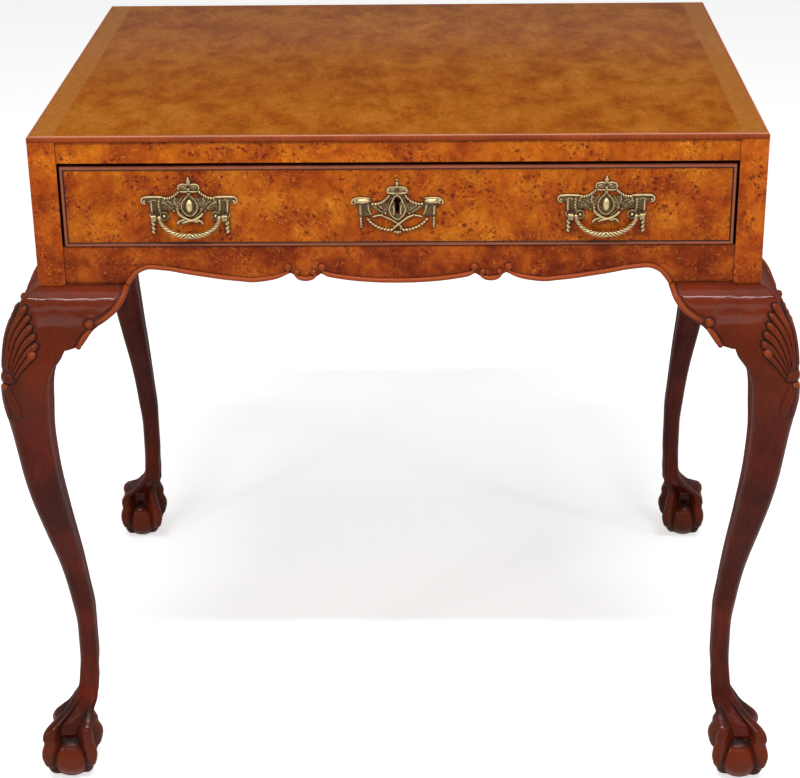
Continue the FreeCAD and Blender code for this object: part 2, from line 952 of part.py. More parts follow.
def lock_screws():
    """Four screws through the ears of the lock's cover into the drawer front."""
    x = lock_width / 2 + lock_flange - lock_screw_inset
    screws = []
    for side in (-1, 1):
        for z in (lock_bottom + lock_screw_inset, drawer_top - lock_screw_inset):
            screws.append(wood_screw(vector(side * x, front_back_face, z), vector(0, -1, 0)))
    return screws


def lock_cover():
    """The lock's back plate, with ears that are let into the drawer front."""
    half = lock_width / 2 + lock_flange
    front = front_back_face - lock_cover_thickness
    return block(-half, half, front, front_back_face, lock_bottom, drawer_top)


def make_lock():
    """The lock's case, cover, bolt and screws."""
    half = lock_width / 2
    back = front_back_face - lock_cover_thickness
    case = block(-half, half, lock_front, back, lock_bottom, drawer_top)
    case = case.cut(block(-half + lock_wall, half - lock_wall, cavity_front, back + overrun,
                          lock_bottom + lock_wall, drawer_top - lock_wall))
    half_slot = bolt_width / 2 + bolt_gap
    case = case.cut(block(-half_slot, half_slot, bolt_front - bolt_gap, bolt_back + bolt_gap,
                          drawer_top - lock_wall - overrun, drawer_top + overrun))
    save("lock_case", case.cut(keyhole(lock_front - overrun, cavity_front + bolt_gap)))

    cover = lock_cover()
    for screw in lock_screws():
        cover = cover.cut(screw)
    save("lock_cover", cover)
    save("lock_screws", lock_screws())

    tail_top = bolt_top - bolt_tail_drop
    head = block(-bolt_width / 2, bolt_width / 2, bolt_front, bolt_back, tail_top, bolt_top)
    tail = block(-bolt_tail_width / 2, bolt_tail_width / 2, bolt_front, bolt_back,
                 tail_top - bolt_tail_height, tail_top)
    save("lock_bolt", fuse([head, tail]))


def side_tails():
    """The dovetails at the front end of the right drawer side."""
    pitch = side_height / dovetail_count
    tip = front_back_face - dovetail_length
    tails = []
    for number in range(dovetail_count):
        z = drawer_bottom + pitch * (number + 1 / 2)
        root = pitch * dovetail_root_share
        end = pitch * dovetail_end_share
        tail = polygon([
            vector(side_inner, front_back_face, z - root),
            vector(side_inner, tip, z - end),
            vector(side_inner, tip, z + end),
            vector(side_inner, front_back_face, z + root),
        ])
        tails.append(tail.extrude(vector(side_thickness, 0, 0)))
    return tails


def bottom_panel():
    """The drawer's bottom board in its grooves."""
    half = side_inner + bottom_groove
    return block(-half, half, front_back_face - bottom_groove, drawer_back_end - back_inset,
                 panel_bottom, panel_top)


def back_board():
    """The drawer's back board, housed in the sides."""
    half = side_inner + back_housing
    end = drawer_back_end - back_inset
    return block(-half, half, end - back_thickness, end, panel_top, side_top - back_top_drop)


def cock_bead_space(extra=0.0):
    """The rabbet around the drawer front that the cock bead lies in."""
    outer = block(-drawer_half - extra, drawer_half + extra, drawer_face - extra,
                  drawer_face + cock_bead_depth, drawer_bottom - extra, drawer_top + extra)
    inner = block(-drawer_half + cock_bead_width, drawer_half - cock_bead_width,
                  drawer_face - extra - overrun, drawer_face + cock_bead_depth + overrun,
                  drawer_bottom + cock_bead_width, drawer_top - cock_bead_width)
    return outer.cut(inner)


def make_cock_bead():
    """The rounded bead around the drawer front."""
    bead_face = drawer_face - cock_bead_proud
    outer = block(-drawer_half, drawer_half, bead_face, drawer_face + cock_bead_depth,
                  drawer_bottom, drawer_top)
    inner = block(-drawer_half + cock_bead_width, drawer_half - cock_bead_width,
                  bead_face - overrun, drawer_face + cock_bead_depth + overrun,
                  drawer_bottom + cock_bead_width, drawer_top - cock_bead_width)
    bead = outer.cut(inner)
    front_edges = []
    for edge in bead.Edges:
        if all(abs(vertex.Y - bead_face) < tiny for vertex in edge.Vertexes):
            front_edges.append(edge)
    save("cock_bead", bead.makeFillet(cock_bead_radius, front_edges))


def make_drawer_box():
    """The drawer's front, sides, back and bottom."""
    front = block(-drawer_half, drawer_half, drawer_face, front_back_face, drawer_bottom, drawer_top)
    front = front.cut(cock_bead_space(overrun))
    for tail in side_tails():
        front = front.cut(tail).cut(mirrored(tail, x=True))
    front = front.cut(bottom_panel())
    half = lock_width / 2
    front = front.cut(block(-half, half, lock_front, front_back_face + overrun,
                            lock_bottom, drawer_top + overrun))
    front = front.cut(lock_cover())
    front = front.cut(keyhole(drawer_face - overrun, lock_front + overrun))
    for screw in lock_screws():
        front = front.cut(screw)
    for hole in stem_holes() + escutcheon_pin_shanks():
        front = front.cut(hole)
    save("drawer_front", front)

    side = block(side_inner, side_outer, front_back_face, drawer_back_end, drawer_bottom, side_top)
    side = fuse([side] + side_tails())
    side = side.cut(bottom_panel()).cut(back_board())
    save("drawer_side_right", side)
    save("drawer_side_left", mirrored(side, x=True))
    save("drawer_back", back_board())
    save("drawer_bottom", bottom_panel())


def outline_points(shares, half, side=1):
    """Points of a plate's outline in the plane y = 0, from shares of its half width and rise."""
    return [vector(side * u * half, 0, v * handle_rise) for u, v in shares]


def whole_plate(shares, half, thickness):
    """A plate whose outline is one half and its mirror image."""
    points = outline_points(shares, half)
    other = [point for point in reversed(outline_points(shares, half, -1)) if point.x != 0]
    return polygon(points + other).extrude(vector(0, -thickness, 0))


def plate_pair(shares, half, thickness):
    """A plate on each side of the middle."""
    right = polygon(outline_points(shares, half)).extrude(vector(0, -thickness, 0))
    return [right, mirrored(right, x=True)]


def rope(shares, half, depth):
    """A cast rope through a few points, on each side of the middle."""
    pieces = []
    for side in (-1, 1):
        points = [vector(side * u * half, -depth, v * handle_rise) for u, v in shares]
        for start, end in zip(points, points[1:]):
            pieces.append(rod(swag_radius, start, end))
        for point in points:
            pieces.append(Part.makeSphere(swag_radius, point))
    return pieces


def cast_plate(width):
    """The pierced plate that the handles and the escutcheon share, at the origin."""
    half = width / 2
    raised = plate_thickness + ornament_proud
    depth = plate_thickness
    pieces = [whole_plate(shield_shares, half, plate_thickness)]
    pieces.append(whole_plate(crown_shares, half, raised))
    pieces.append(whole_plate(finial_shares, half, raised))
    pieces.append(whole_plate(neck_shares, half, plate_thickness))
    pieces += plate_pair(shoulder_shares, half, plate_thickness)
    pieces += plate_pair(capital_shares, half, raised)
    pieces += plate_pair(column_shares, half, plate_thickness)
    pieces += plate_pair(tassel_shares, half, plate_thickness)
    pieces += plate_pair(ribbon_shares, half, plate_thickness)
    pieces += rope(swag_shares, half, depth)
    return pieces


def boss():
    """The oval boss in the middle of a handle's plate."""
    ellipse = Part.Ellipse(vector(0, 0, 0), boss_height / 2, boss_width / 2)
    face = Part.Face(Part.Wire(ellipse.toShape()))
    face.rotate(vector(0, 0, 0), vector(0, 0, 1), 90)
    face.rotate(vector(0, 0, 0), vector(1, 0, 0), 90)
    return face.extrude(vector(0, -plate_thickness - boss_proud, 0))


def stem_place():
    """How far the posts stand from the middle of a handle."""
    return (knuckle_start + knuckle_end) / 2


def knuckle_block():
    """The square block of the right post of a handle at x = 0, before it is rounded and bored."""
    half = knuckle_size / 2
    return block(knuckle_start, knuckle_end, pivot_y - half, pivot_y + half, pivot_z - half, pivot_z + half)


def handle_post():
    """The right post of a handle at x = 0: its knuckle, bored for the bail, and its stem."""
    half = knuckle_size / 2
    knuckle = knuckle_block()
    long_edges = [e for e in knuckle.Edges if abs(e.CenterOfMass.x - stem_place()) < tiny]
    knuckle = knuckle.makeFillet(half * knuckle_round_share, long_edges)
    x = stem_place()
    stem = rod(stem_radius, vector(x, pivot_y, pivot_z), vector(x, nut_face + stem_spare, pivot_z))
    bore = rod(pivot_radius + pivot_clearance, vector(knuckle_start - overrun, pivot_y, pivot_z),
               vector(knuckle_end - knuckle_wall, pivot_y, pivot_z))
    return fuse([knuckle, stem]).cut(bore)


def handle_nut():
    """The nut on the right post of a handle at x = 0."""
    corners = []
    for number in range(6):
        turn = math.radians(60 * number)
        corners.append(vector(stem_place() + nut_radius * math.cos(turn), front_back_face,
                              pivot_z + nut_radius * math.sin(turn)))
    nut = polygon(corners).extrude(vector(0, nut_thickness, 0))
    hole = rod(stem_radius, vector(stem_place(), front_back_face - overrun, pivot_z),
               vector(stem_place(), nut_face + overrun, pivot_z))
    return nut.cut(hole)


def stem_holes():
    """The holes through the drawer front for the four posts."""
    holes = []
    for place in (-handle_spacing / 2, handle_spacing / 2):
        for side in (-1, 1):
            x = place + side * stem_place()
            holes.append(rod(stem_radius + stem_clearance, vector(x, plate_front - overrun, pivot_z),
                             vector(x, front_back_face + overrun, pivot_z)))
    return holes


def make_bail():
    """The handle's bail at x = 0: an arc of round bar with a knob and pin at each end."""
    ends = [vector(side * bail_half_span, pivot_y, pivot_z) for side in (-1, 1)]
    bottom = vector(0, pivot_y, pivot_z - bail_drop)
    path = Part.Wire(Part.Arc(ends[0], bottom, ends[1]).toShape())
    radius = (bail_half_span ** 2 + bail_drop ** 2) / (2 * bail_drop)
    tangent = vector(radius - bail_drop, 0, -bail_half_span)
    circle = Part.Wire(Part.Circle(ends[0], tangent, bail_radius).toShape())
    pieces = [path.makePipeShell([circle], True, False)]
    for side, end in zip((-1, 1), ends):
        pieces.append(Part.makeSphere(bail_knob_radius, end))
        pin_end = vector(side * (knuckle_end - knuckle_wall - knuckle_gap), end.y, end.z)
        pieces.append(rod(pivot_radius, end, pin_end))
    return fuse(pieces)


def make_handles():
    """Both drop handles: plate, bail, posts and nuts."""
    plate = fuse(cast_plate(handle_width) + [boss()])
    plate.translate(vector(0, drawer_face, boss_z))
    post = handle_post()
    posts = [post, mirrored(post, x=True)]
    nut = handle_nut()
    nuts = [nut, mirrored(nut, x=True)]
    bail = make_bail()
    hole = rod(stem_radius + stem_clearance, vector(stem_place(), pivot_y, pivot_z),
               vector(stem_place(), drawer_face + overrun, pivot_z))
    for cut in (knuckle_block(), hole):
        plate = plate.cut(cut).cut(mirrored(cut, x=True))
    for name, place in (("left", -handle_spacing / 2), ("right", handle_spacing / 2)):
        move = vector(place, 0, 0)
        save(f"handle_plate_{name}", moved(plate, move))
        save(f"handle_bail_{name}", moved(bail, move))
        save(f"handle_posts_{name}", [moved(one, move) for one in posts])
        save(f"handle_nuts_{name}", [moved(one, move) for one in nuts])


def escutcheon_pin_places():
    """Where the escutcheon's pins go through its ends: x, z of each."""
    x, z = escutcheon_pin_place_shares
    return [(side * x * escutcheon_width / 2, boss_z + z * handle_rise) for side in (-1, 1)]


def escutcheon_pin_shanks():
    """The shanks of the pins that hold the escutcheon."""
    shanks = []
    for x, z in escutcheon_pin_places():
        shanks.append(rod(escutcheon_pin_radius, vector(x, escutcheon_face(), z),
                          vector(x, drawer_face - plate_thickness + escutcheon_pin_length, z)))
    return shanks


def escutcheon_face():
    """The front of the escutcheon's raised ends."""
    return drawer_face - plate_thickness - ornament_proud


def make_escutcheon():
    """The pierced plate round the keyhole and its pins."""
    half = escutcheon_width / 2
    pieces = cast_plate(escutcheon_width)
    pieces += rope(fixed_bail_shares, half, plate_thickness / 2 + swag_radius / 2)
    plate = fuse(pieces)
    plate.translate(vector(0, drawer_face, boss_z))
    for shank in escutcheon_pin_shanks():
        plate = plate.cut(shank)
    plate = plate.cut(keyhole(escutcheon_face() - overrun, drawer_face + overrun))
    save("escutcheon", plate)
    pins = []
    for (x, z), shank in zip(escutcheon_pin_places(), escutcheon_pin_shanks()):
        centre = vector(x, escutcheon_face(), z)
        dome = Part.makeSphere(escutcheon_pin_head, centre)
        size = 2 * escutcheon_pin_head
        dome = dome.common(block(x - size, x + size, centre.y - size, centre.y, z - size, z + size))
        pins.append(fuse([shank, dome]))
    save("escutcheon_pins", pins)


def make_case():
    """Everything that stays still."""
    make_legs()
    make_facings()
    make_ears()
    make_apron()
    make_shaped_rails()
    make_top_rail()
    make_top()
    make_drawer_ways()
    make_glue_blocks()
    save("top_screws", top_screws())


os.makedirs("parts", exist_ok=True)
make_case()
make_drawer_box()
make_cock_bead()
make_lock()
make_handles()
make_escutcheon()
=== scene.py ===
"""The looks of a tea table: french polished burr veneer, dark waxed carving and old cast brass.

Lengths are written in millimetres, in the table's own frame, and turned to metres where a
mesh is made. The frame's boards, box and lock parts keep their solids and get their finish
here. The carved legs, their ears, the beads and the brasses are modelled anew.
"""
import json
import logging
import math
from collections.abc import Callable, Sequence
from dataclasses import dataclass
from enum import Enum

import bpy
import numpy as np
from mathutils import Matrix, Vector


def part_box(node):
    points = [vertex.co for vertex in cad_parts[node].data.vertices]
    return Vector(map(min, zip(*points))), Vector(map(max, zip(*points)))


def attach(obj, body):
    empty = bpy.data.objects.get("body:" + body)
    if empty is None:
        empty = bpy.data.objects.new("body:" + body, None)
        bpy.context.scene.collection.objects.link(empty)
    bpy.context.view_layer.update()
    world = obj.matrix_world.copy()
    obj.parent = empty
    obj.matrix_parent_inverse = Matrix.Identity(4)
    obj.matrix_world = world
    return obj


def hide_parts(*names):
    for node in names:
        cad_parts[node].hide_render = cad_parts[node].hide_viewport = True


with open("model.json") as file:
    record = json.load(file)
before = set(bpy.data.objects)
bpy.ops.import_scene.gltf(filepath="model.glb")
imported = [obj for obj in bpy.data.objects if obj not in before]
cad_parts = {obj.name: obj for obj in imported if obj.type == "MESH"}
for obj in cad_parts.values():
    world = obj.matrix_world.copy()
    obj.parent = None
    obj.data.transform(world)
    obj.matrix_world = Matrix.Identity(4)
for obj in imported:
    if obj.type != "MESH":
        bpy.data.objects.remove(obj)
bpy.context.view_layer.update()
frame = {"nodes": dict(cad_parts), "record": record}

log = logging.getLogger("tea_table")

METRES = 0.001
PICTURE_WIDTH = 800
SMOOTH_LIMIT = math.radians(38.0)
# The near black of old wax, which also paints the shade in corners and hollows
WAX_AND_SHADE = "#1C0F0A"
SWAP_X_AND_Y = Matrix(((0, 1, 0, 0), (1, 0, 0, 0), (0, 0, 1, 0), (0, 0, 0, 1)))
SWAP_Y_AND_Z = Matrix(((1, 0, 0, 0), (0, 0, 1, 0), (0, 1, 0, 0), (0, 0, 0, 1)))

Points = np.ndarray
Table = Sequence[Sequence[float]]
Piece = bpy.types.Object
Material = bpy.types.Material
Tree = bpy.types.NodeTree
Socket = bpy.types.NodeSocket


class Corner(Enum):
    """The table's four corners, as the signs of x and y."""

    FRONT_LEFT = (-1, -1)
    FRONT_RIGHT = (1, -1)
    BACK_LEFT = (-1, 1)
    BACK_RIGHT = (1, 1)


class Side(Enum):
    """The two ends of the table, as the sign of x."""

    LEFT = -1
    RIGHT = 1


def linear(colour: str) -> tuple[float, float, float, float]:
    """Turn an sRGB hex colour into the linear colour that a shader takes.

    Args:
        colour: Six hex digits after a hash.

    Returns:
        Red, green, blue and an alpha of one.
    """
    parts = [int(colour[at:at + 2], 16) / 255 for at in (1, 3, 5)]
    red, green, blue = [p / 12.92 if p <= 0.04045 else ((p + 0.055) / 1.055) ** 2.4 for p in parts]
    return red, green, blue, 1.0


def add(tree: Tree, kind: str, inputs: dict | None = None, stops: Sequence = (),
        **settings: object) -> bpy.types.Node:
    """Add a shader node with its settings, input values and links.

    Args:
        tree: The node tree that gets the node.
        kind: The node's type, without the ShaderNode before it.
        inputs: Values or output sockets, by the name or number of the input they go to.
        stops: Places and hex colours of a colour ramp.
        settings: Properties of the node itself.

    Returns:
        The new node.
    """
    node = tree.nodes.new("ShaderNode" + kind)
    for name, value in settings.items():
        setattr(node, name, value)
    for key, value in (inputs or {}).items():
        if isinstance(value, Socket):
            tree.links.new(value, node.inputs[key])
        else:
            node.inputs[key].default_value = value
    for number, (place, colour) in enumerate(stops):
        elements = node.color_ramp.elements
        element = elements[number] if number < len(elements) else elements.new(place)
        element.position = place
        element.color = linear(colour)
    return node


def blank_material(name: str) -> tuple[Material, Tree]:
    """Make a material without nodes.

    Args:
        name: The material's name.

    Returns:
        The material and its node tree.
    """
    material = bpy.data.materials.new(name)
    material.use_nodes = True
    material.node_tree.nodes.clear()
    return material, material.node_tree


def add_shader(tree: Tree, inputs: dict) -> None:
    """Add a material's Principled shader and its output."""
    shader = add(tree, "BsdfPrincipled", inputs)
    add(tree, "OutputMaterial", {"Surface": shader.outputs[0]}).is_active_output = True


def smooth_table(at: Points, table: Table, column: int = 1) -> Points:
    """Read a smooth curve through a table's rows, without overshoot between them.

    Args:
        at: Where to read it.
        table: Rows of a place and its values, in any order of places.
        column: The value that is read.

    Returns:
        The curve's values.
    """
    rows = sorted((row[0], row[column]) for row in table)
    x = np.array([row[0] for row in rows], float)
    y = np.array([row[1] for row in rows], float)
    step = np.diff(x)
    slope = np.diff(y) / step
    tangent = np.zeros_like(y)
    same = slope[1:] * slope[:-1] > 0
    mean = 2 * slope[1:] * slope[:-1] / np.where(same, slope[1:] + slope[:-1], 1)
    tangent[1:-1] = np.where(same, mean, 0)
    tangent[0] = slope[0]
    tangent[-1] = slope[-1]
    at = np.clip(np.asarray(at, float), x[0], x[-1])
    span = np.clip(np.searchsorted(x, at, side="right") - 1, 0, len(x) - 2)
    t = (at - x[span]) / step[span]
    return (
        y[span] * (1 + 2 * t) * (1 - t) ** 2
        + y[span + 1] * t * t * (3 - 2 * t)
        + step[span] * t * (1 - t) * (tangent[span] * (1 - t) - tangent[span + 1] * t)
    )


def smooth_step(value: Points, low: float, high: float) -> Points:
    """Rise smoothly from 0 at low to 1 at high."""
    t = np.clip((value - low) / (high - low), 0, 1)
    return t * t * (3 - 2 * t)


def soft_max(one: Points, other: Points, blend: float) -> Points:
    """The larger of two values, rounded where they meet."""
    return (one + other + np.sqrt((one - other) ** 2 + blend * blend)) / 2


def route(points: Table, steps: int) -> Points:
    """A smooth line through a few points, evenly divided.

    Args:
        points: The points, in two or three coordinates.
        steps: How many points the line gets.

    Returns:
        The line's points.
    """
    rough = np.array(points, float)
    if len(rough) > 2:
        knots = np.arange(len(rough), dtype=float)
        fine = np.linspace(0, len(rough) - 1, 40 * len(rough))
        before = np.vstack([2 * rough[0] - rough[1], rough, 2 * rough[-1] - rough[-2]])
        span = np.clip(fine.astype(int), 0, len(rough) - 2)
        t = (fine - knots[span])[:, None]
        a, b, c, d = [before[span + shift] for shift in range(4)]
        rough = 0.5 * (2 * b + (c - a) * t + (2 * a - 5 * b + 4 * c - d) * t ** 2
                       + (3 * b - a - 3 * c + d) * t ** 3)
    reach = np.concatenate([[0], np.cumsum(np.linalg.norm(np.diff(rough, axis=0), axis=1))])
    even = np.linspace(0, reach[-1], steps)
    return np.stack([np.interp(even, reach, rough[:, axis]) for axis in range(rough.shape[1])], axis=1)


def near_line(s: Points, z: Points, line: Points) -> tuple[Points, Points]:
    """Measure how near places on a face lie to a line.

    Args:
        s: The places' distances along the face.
        z: Their heights.
        line: The line's points.

    Returns:
        The gap, and the share of the line where it is nearest.
    """
    gap = np.hypot(s[..., None] - line[:, 0], z[..., None] - line[:, 1])
    nearest = gap.argmin(axis=-1)
    return gap.min(axis=-1), nearest / (len(line) - 1)


def deselect() -> None:
    """Leave no object selected, because operators act on all that is."""
    for item in list(bpy.context.selected_objects):
        item.select_set(False)


def only(item: Piece) -> None:
    """Select one object and make it the active one.

    Args:
        item: The object.
    """
    deselect()
    item.select_set(True)
    bpy.context.view_layer.objects.active = item


def skin(name: str, rings: Points, closed_ends: bool = True,
         fields: dict[str, Points] | None = None) -> Piece:
    """Roll a grid into a closed skin over rings of points.

    Args:
        name: The new object's name.
        rings: Points in millimetres, as rings, points on a ring, and three coordinates.
        closed_ends: Whether the first and last rings are filled.
        fields: Values for each point of the rings, stored as attributes of the mesh.

    Returns:
        The object, with its faces outwards.
    """
    around = rings.shape[1]
    rows = np.concatenate([rings, rings[:, :1]], axis=1)
    deselect()
    bpy.ops.mesh.primitive_grid_add(x_subdivisions=around, y_subdivisions=len(rows) - 1, size=1)
    item = bpy.context.active_object
    item.name = name
    item.data.name = name
    item.data.vertices.foreach_set("co", (rows.reshape(-1) * METRES).astype(np.float32))
    for field_name, values in (fields or {}).items():
        attribute = item.data.attributes.new(field_name, "FLOAT", "POINT")
        closed = np.concatenate([values, values[:, :1]], axis=1)
        attribute.data.foreach_set("value", closed.reshape(-1).astype(np.float32))
    item.data.update()
    bpy.ops.object.mode_set(mode="EDIT")
    bpy.ops.mesh.select_all(action="SELECT")
    bpy.ops.mesh.remove_doubles(threshold=0.004 * METRES)
    if closed_ends:
        bpy.ops.mesh.select_all(action="DESELECT")
        bpy.ops.mesh.select_mode(type="EDGE")
        bpy.ops.mesh.select_non_manifold()
        bpy.ops.mesh.fill_holes(sides=0)
    bpy.ops.mesh.select_all(action="SELECT")
    bpy.ops.mesh.normals_make_consistent(inside=False)
    bpy.ops.object.mode_set(mode="OBJECT")
    return item


def mark(item: Piece, wear_and_highlight: float) -> Piece:
    """Mark a whole piece as evenly rubbed and free of wax and painted shade, for the finishes that ask for
    it.

    Args:
        item: The piece.
        wear_and_highlight: How much it is rubbed.

    Returns:
        The piece.
    """
    for name, value in (("wax", 0.0), ("wear_and_highlight", wear_and_highlight)):
        attribute = item.data.attributes.new(name, "FLOAT", "POINT")
        attribute.data.foreach_set("value", np.full(len(item.data.vertices), value, np.float32))
    return item


def tube(name: str, line: Points, radii: Points, sides: int = 12,
         section: Callable[[Points, float], Points] | None = None) -> Piece:
    """A round bar along a line, with closed ends.

    Args:
        name: The new object's name.
        line: The centre line's points.
        radii: The radius at each point.
        sides: Points round the bar.
        section: Changes the radius by the angle round the bar and the share of its length. What
        stands proud of it is marked as rubbed, and what lies low gets wax and painted shade.

    Returns:
        The bar.
    """
    along = np.gradient(line, axis=0)
    along /= np.linalg.norm(along, axis=1)[:, None]
    turn = np.linspace(0, 2 * math.pi, sides, endpoint=False)
    shape = np.ones((len(line), sides))
    if section:
        shape = np.array([section(turn, share) for share in np.linspace(0, 1, len(line))])
    across = np.cross(along, np.array([0.0, 1.0, 0.0]))
    across /= np.linalg.norm(across, axis=1)[:, None]
    up = np.cross(across, along)
    rings = []
    for number, centre in enumerate(line):
        radius = radii[number] * shape[number]
        rings.append(centre + (np.cos(turn) * radius)[:, None] * across[number]
                     + (np.sin(turn) * radius)[:, None] * up[number])
    if not section:
        return skin(name, np.array(rings))
    proud = (shape - shape.min()) / np.ptp(shape)
    # The low parts between the strands get wax and painted shade, and the crests are rubbed
    return skin(name, np.array(rings), fields={"wax": 1 - proud, "wear_and_highlight": 0.1 + 0.9 * proud ** 2})


def ball(name: str, centre: Sequence[float], radii: Sequence[float], segments: int = 20) -> Piece:
    """An ellipsoid.

    Args:
        name: The new object's name.
        centre: Its middle.
        radii: Its radii along the three axes.
        segments: Points round its middle.

    Returns:
        The ellipsoid.
    """
    deselect()
    bpy.ops.mesh.primitive_uv_sphere_add(segments=segments, ring_count=segments // 2, radius=1)
    item = bpy.context.active_object
    item.name = name
    item.data.transform(Matrix.LocRotScale(Vector(centre) * METRES, None, Vector(radii) * METRES))
    return item


def slab(name: str, outline: Table, front: float, back: float, round_over: float) -> Piece:
    """A flat casting: an outline in x and z, drawn back and rounded at its front edge.

    Args:
        name: The new object's name.
        outline: Corners of the outline, in order.
        front: The y of its front face.
        back: The y of its back face.
        round_over: The radius of the front edge.

    Returns:
        The casting.
    """
    deselect()
    bpy.ops.mesh.primitive_circle_add(vertices=len(outline), fill_type="NGON", radius=1)
    item = bpy.context.active_object
    item.name = name
    for vertex, (x, z) in zip(item.data.vertices, outline):
        vertex.co = Vector((x, back, z)) * METRES
    bpy.ops.object.mode_set(mode="EDIT")
    bpy.ops.mesh.select_all(action="SELECT")
    bpy.ops.mesh.extrude_region_move(TRANSFORM_OT_translate={"value": (0, (front - back) * METRES, 0)})
    bpy.ops.mesh.bevel(offset=round_over * METRES, segments=2, affect="EDGES")
    bpy.ops.mesh.select_all(action="SELECT")
    bpy.ops.mesh.normals_make_consistent(inside=False)
    bpy.ops.object.mode_set(mode="OBJECT")
    return item


def join(name: str, items: Sequence[Piece]) -> Piece:
    """Join parts of one casting or carving into one object.

    Args:
        name: The joined object's name.
        items: The parts.

    Returns:
        The joined object.
    """
    only(items[0])
    for item in items[1:]:
        item.select_set(True)
    bpy.ops.object.join()
    joined = bpy.context.active_object
    joined.name = name
    joined.data.name = name
    return joined


def mirrored_copy(item: Piece, name: str, flip: Sequence[float],
                  shift: Sequence[float] = (0.0, 0.0, 0.0)) -> Piece:
    """Copy an object with a mesh of its own, mirrored and moved.

    Args:
        item: The object to copy.
        name: The copy's name.
        flip: One or minus one for each axis.
        shift: The move in millimetres, after the mirroring.

    Returns:
        The copy, with its faces outwards.
    """
    copy = item.copy()
    copy.data = item.data.copy()
    copy.name = name
    copy.data.name = name
    bpy.context.scene.collection.objects.link(copy)
    copy.data.transform(Matrix.Translation(Vector(shift) * METRES) @ Matrix.Diagonal((*flip, 1.0)))
    if flip[0] * flip[1] * flip[2] < 0:
        copy.data.flip_normals()
    return copy


def swap_axes(item: Piece, swap: Matrix) -> Piece:
    """Swap two axes of a piece and keep its faces outwards.

    Args:
        item: The piece.
        swap: The matrix that swaps them.

    Returns:
        The piece.
    """
    item.data.transform(swap)
    item.data.flip_normals()
    return item


def fit_out(item: Piece, material: Material, body: str,
            nodes: Sequence[str] = ()) -> Piece:
    """Smooth a finished piece, give it its finish and hang it on its body.

    Args:
        item: The piece.
        material: Its finish.
        body: The body that it moves with.
        nodes: The frame's nodes that it stands for.

    Returns:
        The piece.
    """
    only(item)
    bpy.ops.object.shade_smooth_by_angle(angle=SMOOTH_LIMIT)
    item.data.materials.clear()
    item.data.materials.append(material)
    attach(item, body)
    if nodes:
        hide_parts(*nodes)
    log.info("%s: %d faces", item.name, len(item.data.polygons))
    return item


@dataclass(frozen=True)
class Case:
    """The sizes of the case that the new pieces follow, read from the frame."""

    half_width: float
    half_depth: float
    leg_height: float
    post_top: float
    stile: float
    rail_face: float
    apron_bottom: float
    rail_inner: float

    @classmethod
    def from_frame(cls) -> "Case":
        """Read the case's sizes from the frame's nodes.

        Returns:
            The case.
        """
        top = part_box("top_board")
        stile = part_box("stile_front_left")
        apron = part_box("apron_front")
        half_depth = top[1].y / METRES
        return cls(
            half_width=top[1].x / METRES,
            half_depth=half_depth,
            leg_height=stile[0].z / METRES,
            post_top=stile[1].z / METRES,
            stile=(stile[1].x - stile[0].x) / METRES,
            rail_face=apron[0].y / METRES,
            apron_bottom=apron[0].z / METRES,
            rail_inner=apron[1].y / METRES + half_depth,
        )


# The finishes

def shade_and_wax_in_corners(tree: Tree, colour: Socket, reach: float, open_share: float,
                   strength: float, extra: Socket | None = None) -> Socket:
    """Darken a colour in corners and hollows by how little sky they see: painted shade, over the old wax and
    grime that lie there.

    Args:
        tree: The material's node tree.
        colour: The clean colour.
        reach: How far from a corner the wax lies, in millimetres.
        open_share: The open share of the sky above which a place is not darkened.
        strength: How dark the deepest corner gets.
        extra: Wax and painted shade that the carving itself carries.

    Returns:
        The darkened colour.
    """
    # Ambient occlusion paints the shade of corners and hollows into the colour
    sky = add(tree, "AmbientOcclusion", {"Distance": reach * METRES}, samples=6).outputs["AO"]
    shade_and_grime = add(tree, "MapRange", {"Value": sky, "From Min": 0.35, "From Max": open_share, "To Min": strength,
                                  "To Max": 0.0}, interpolation_type="SMOOTHSTEP").outputs["Result"]
    if extra is not None:
        shade_and_grime = add(tree, "Math", {0: shade_and_grime, 1: extra}, operation="MAXIMUM").outputs[0]
    mixed = add(tree, "Mix", {0: shade_and_grime, 6: colour, 7: linear(WAX_AND_SHADE)}, data_type="RGBA")
    return mixed.outputs[2]


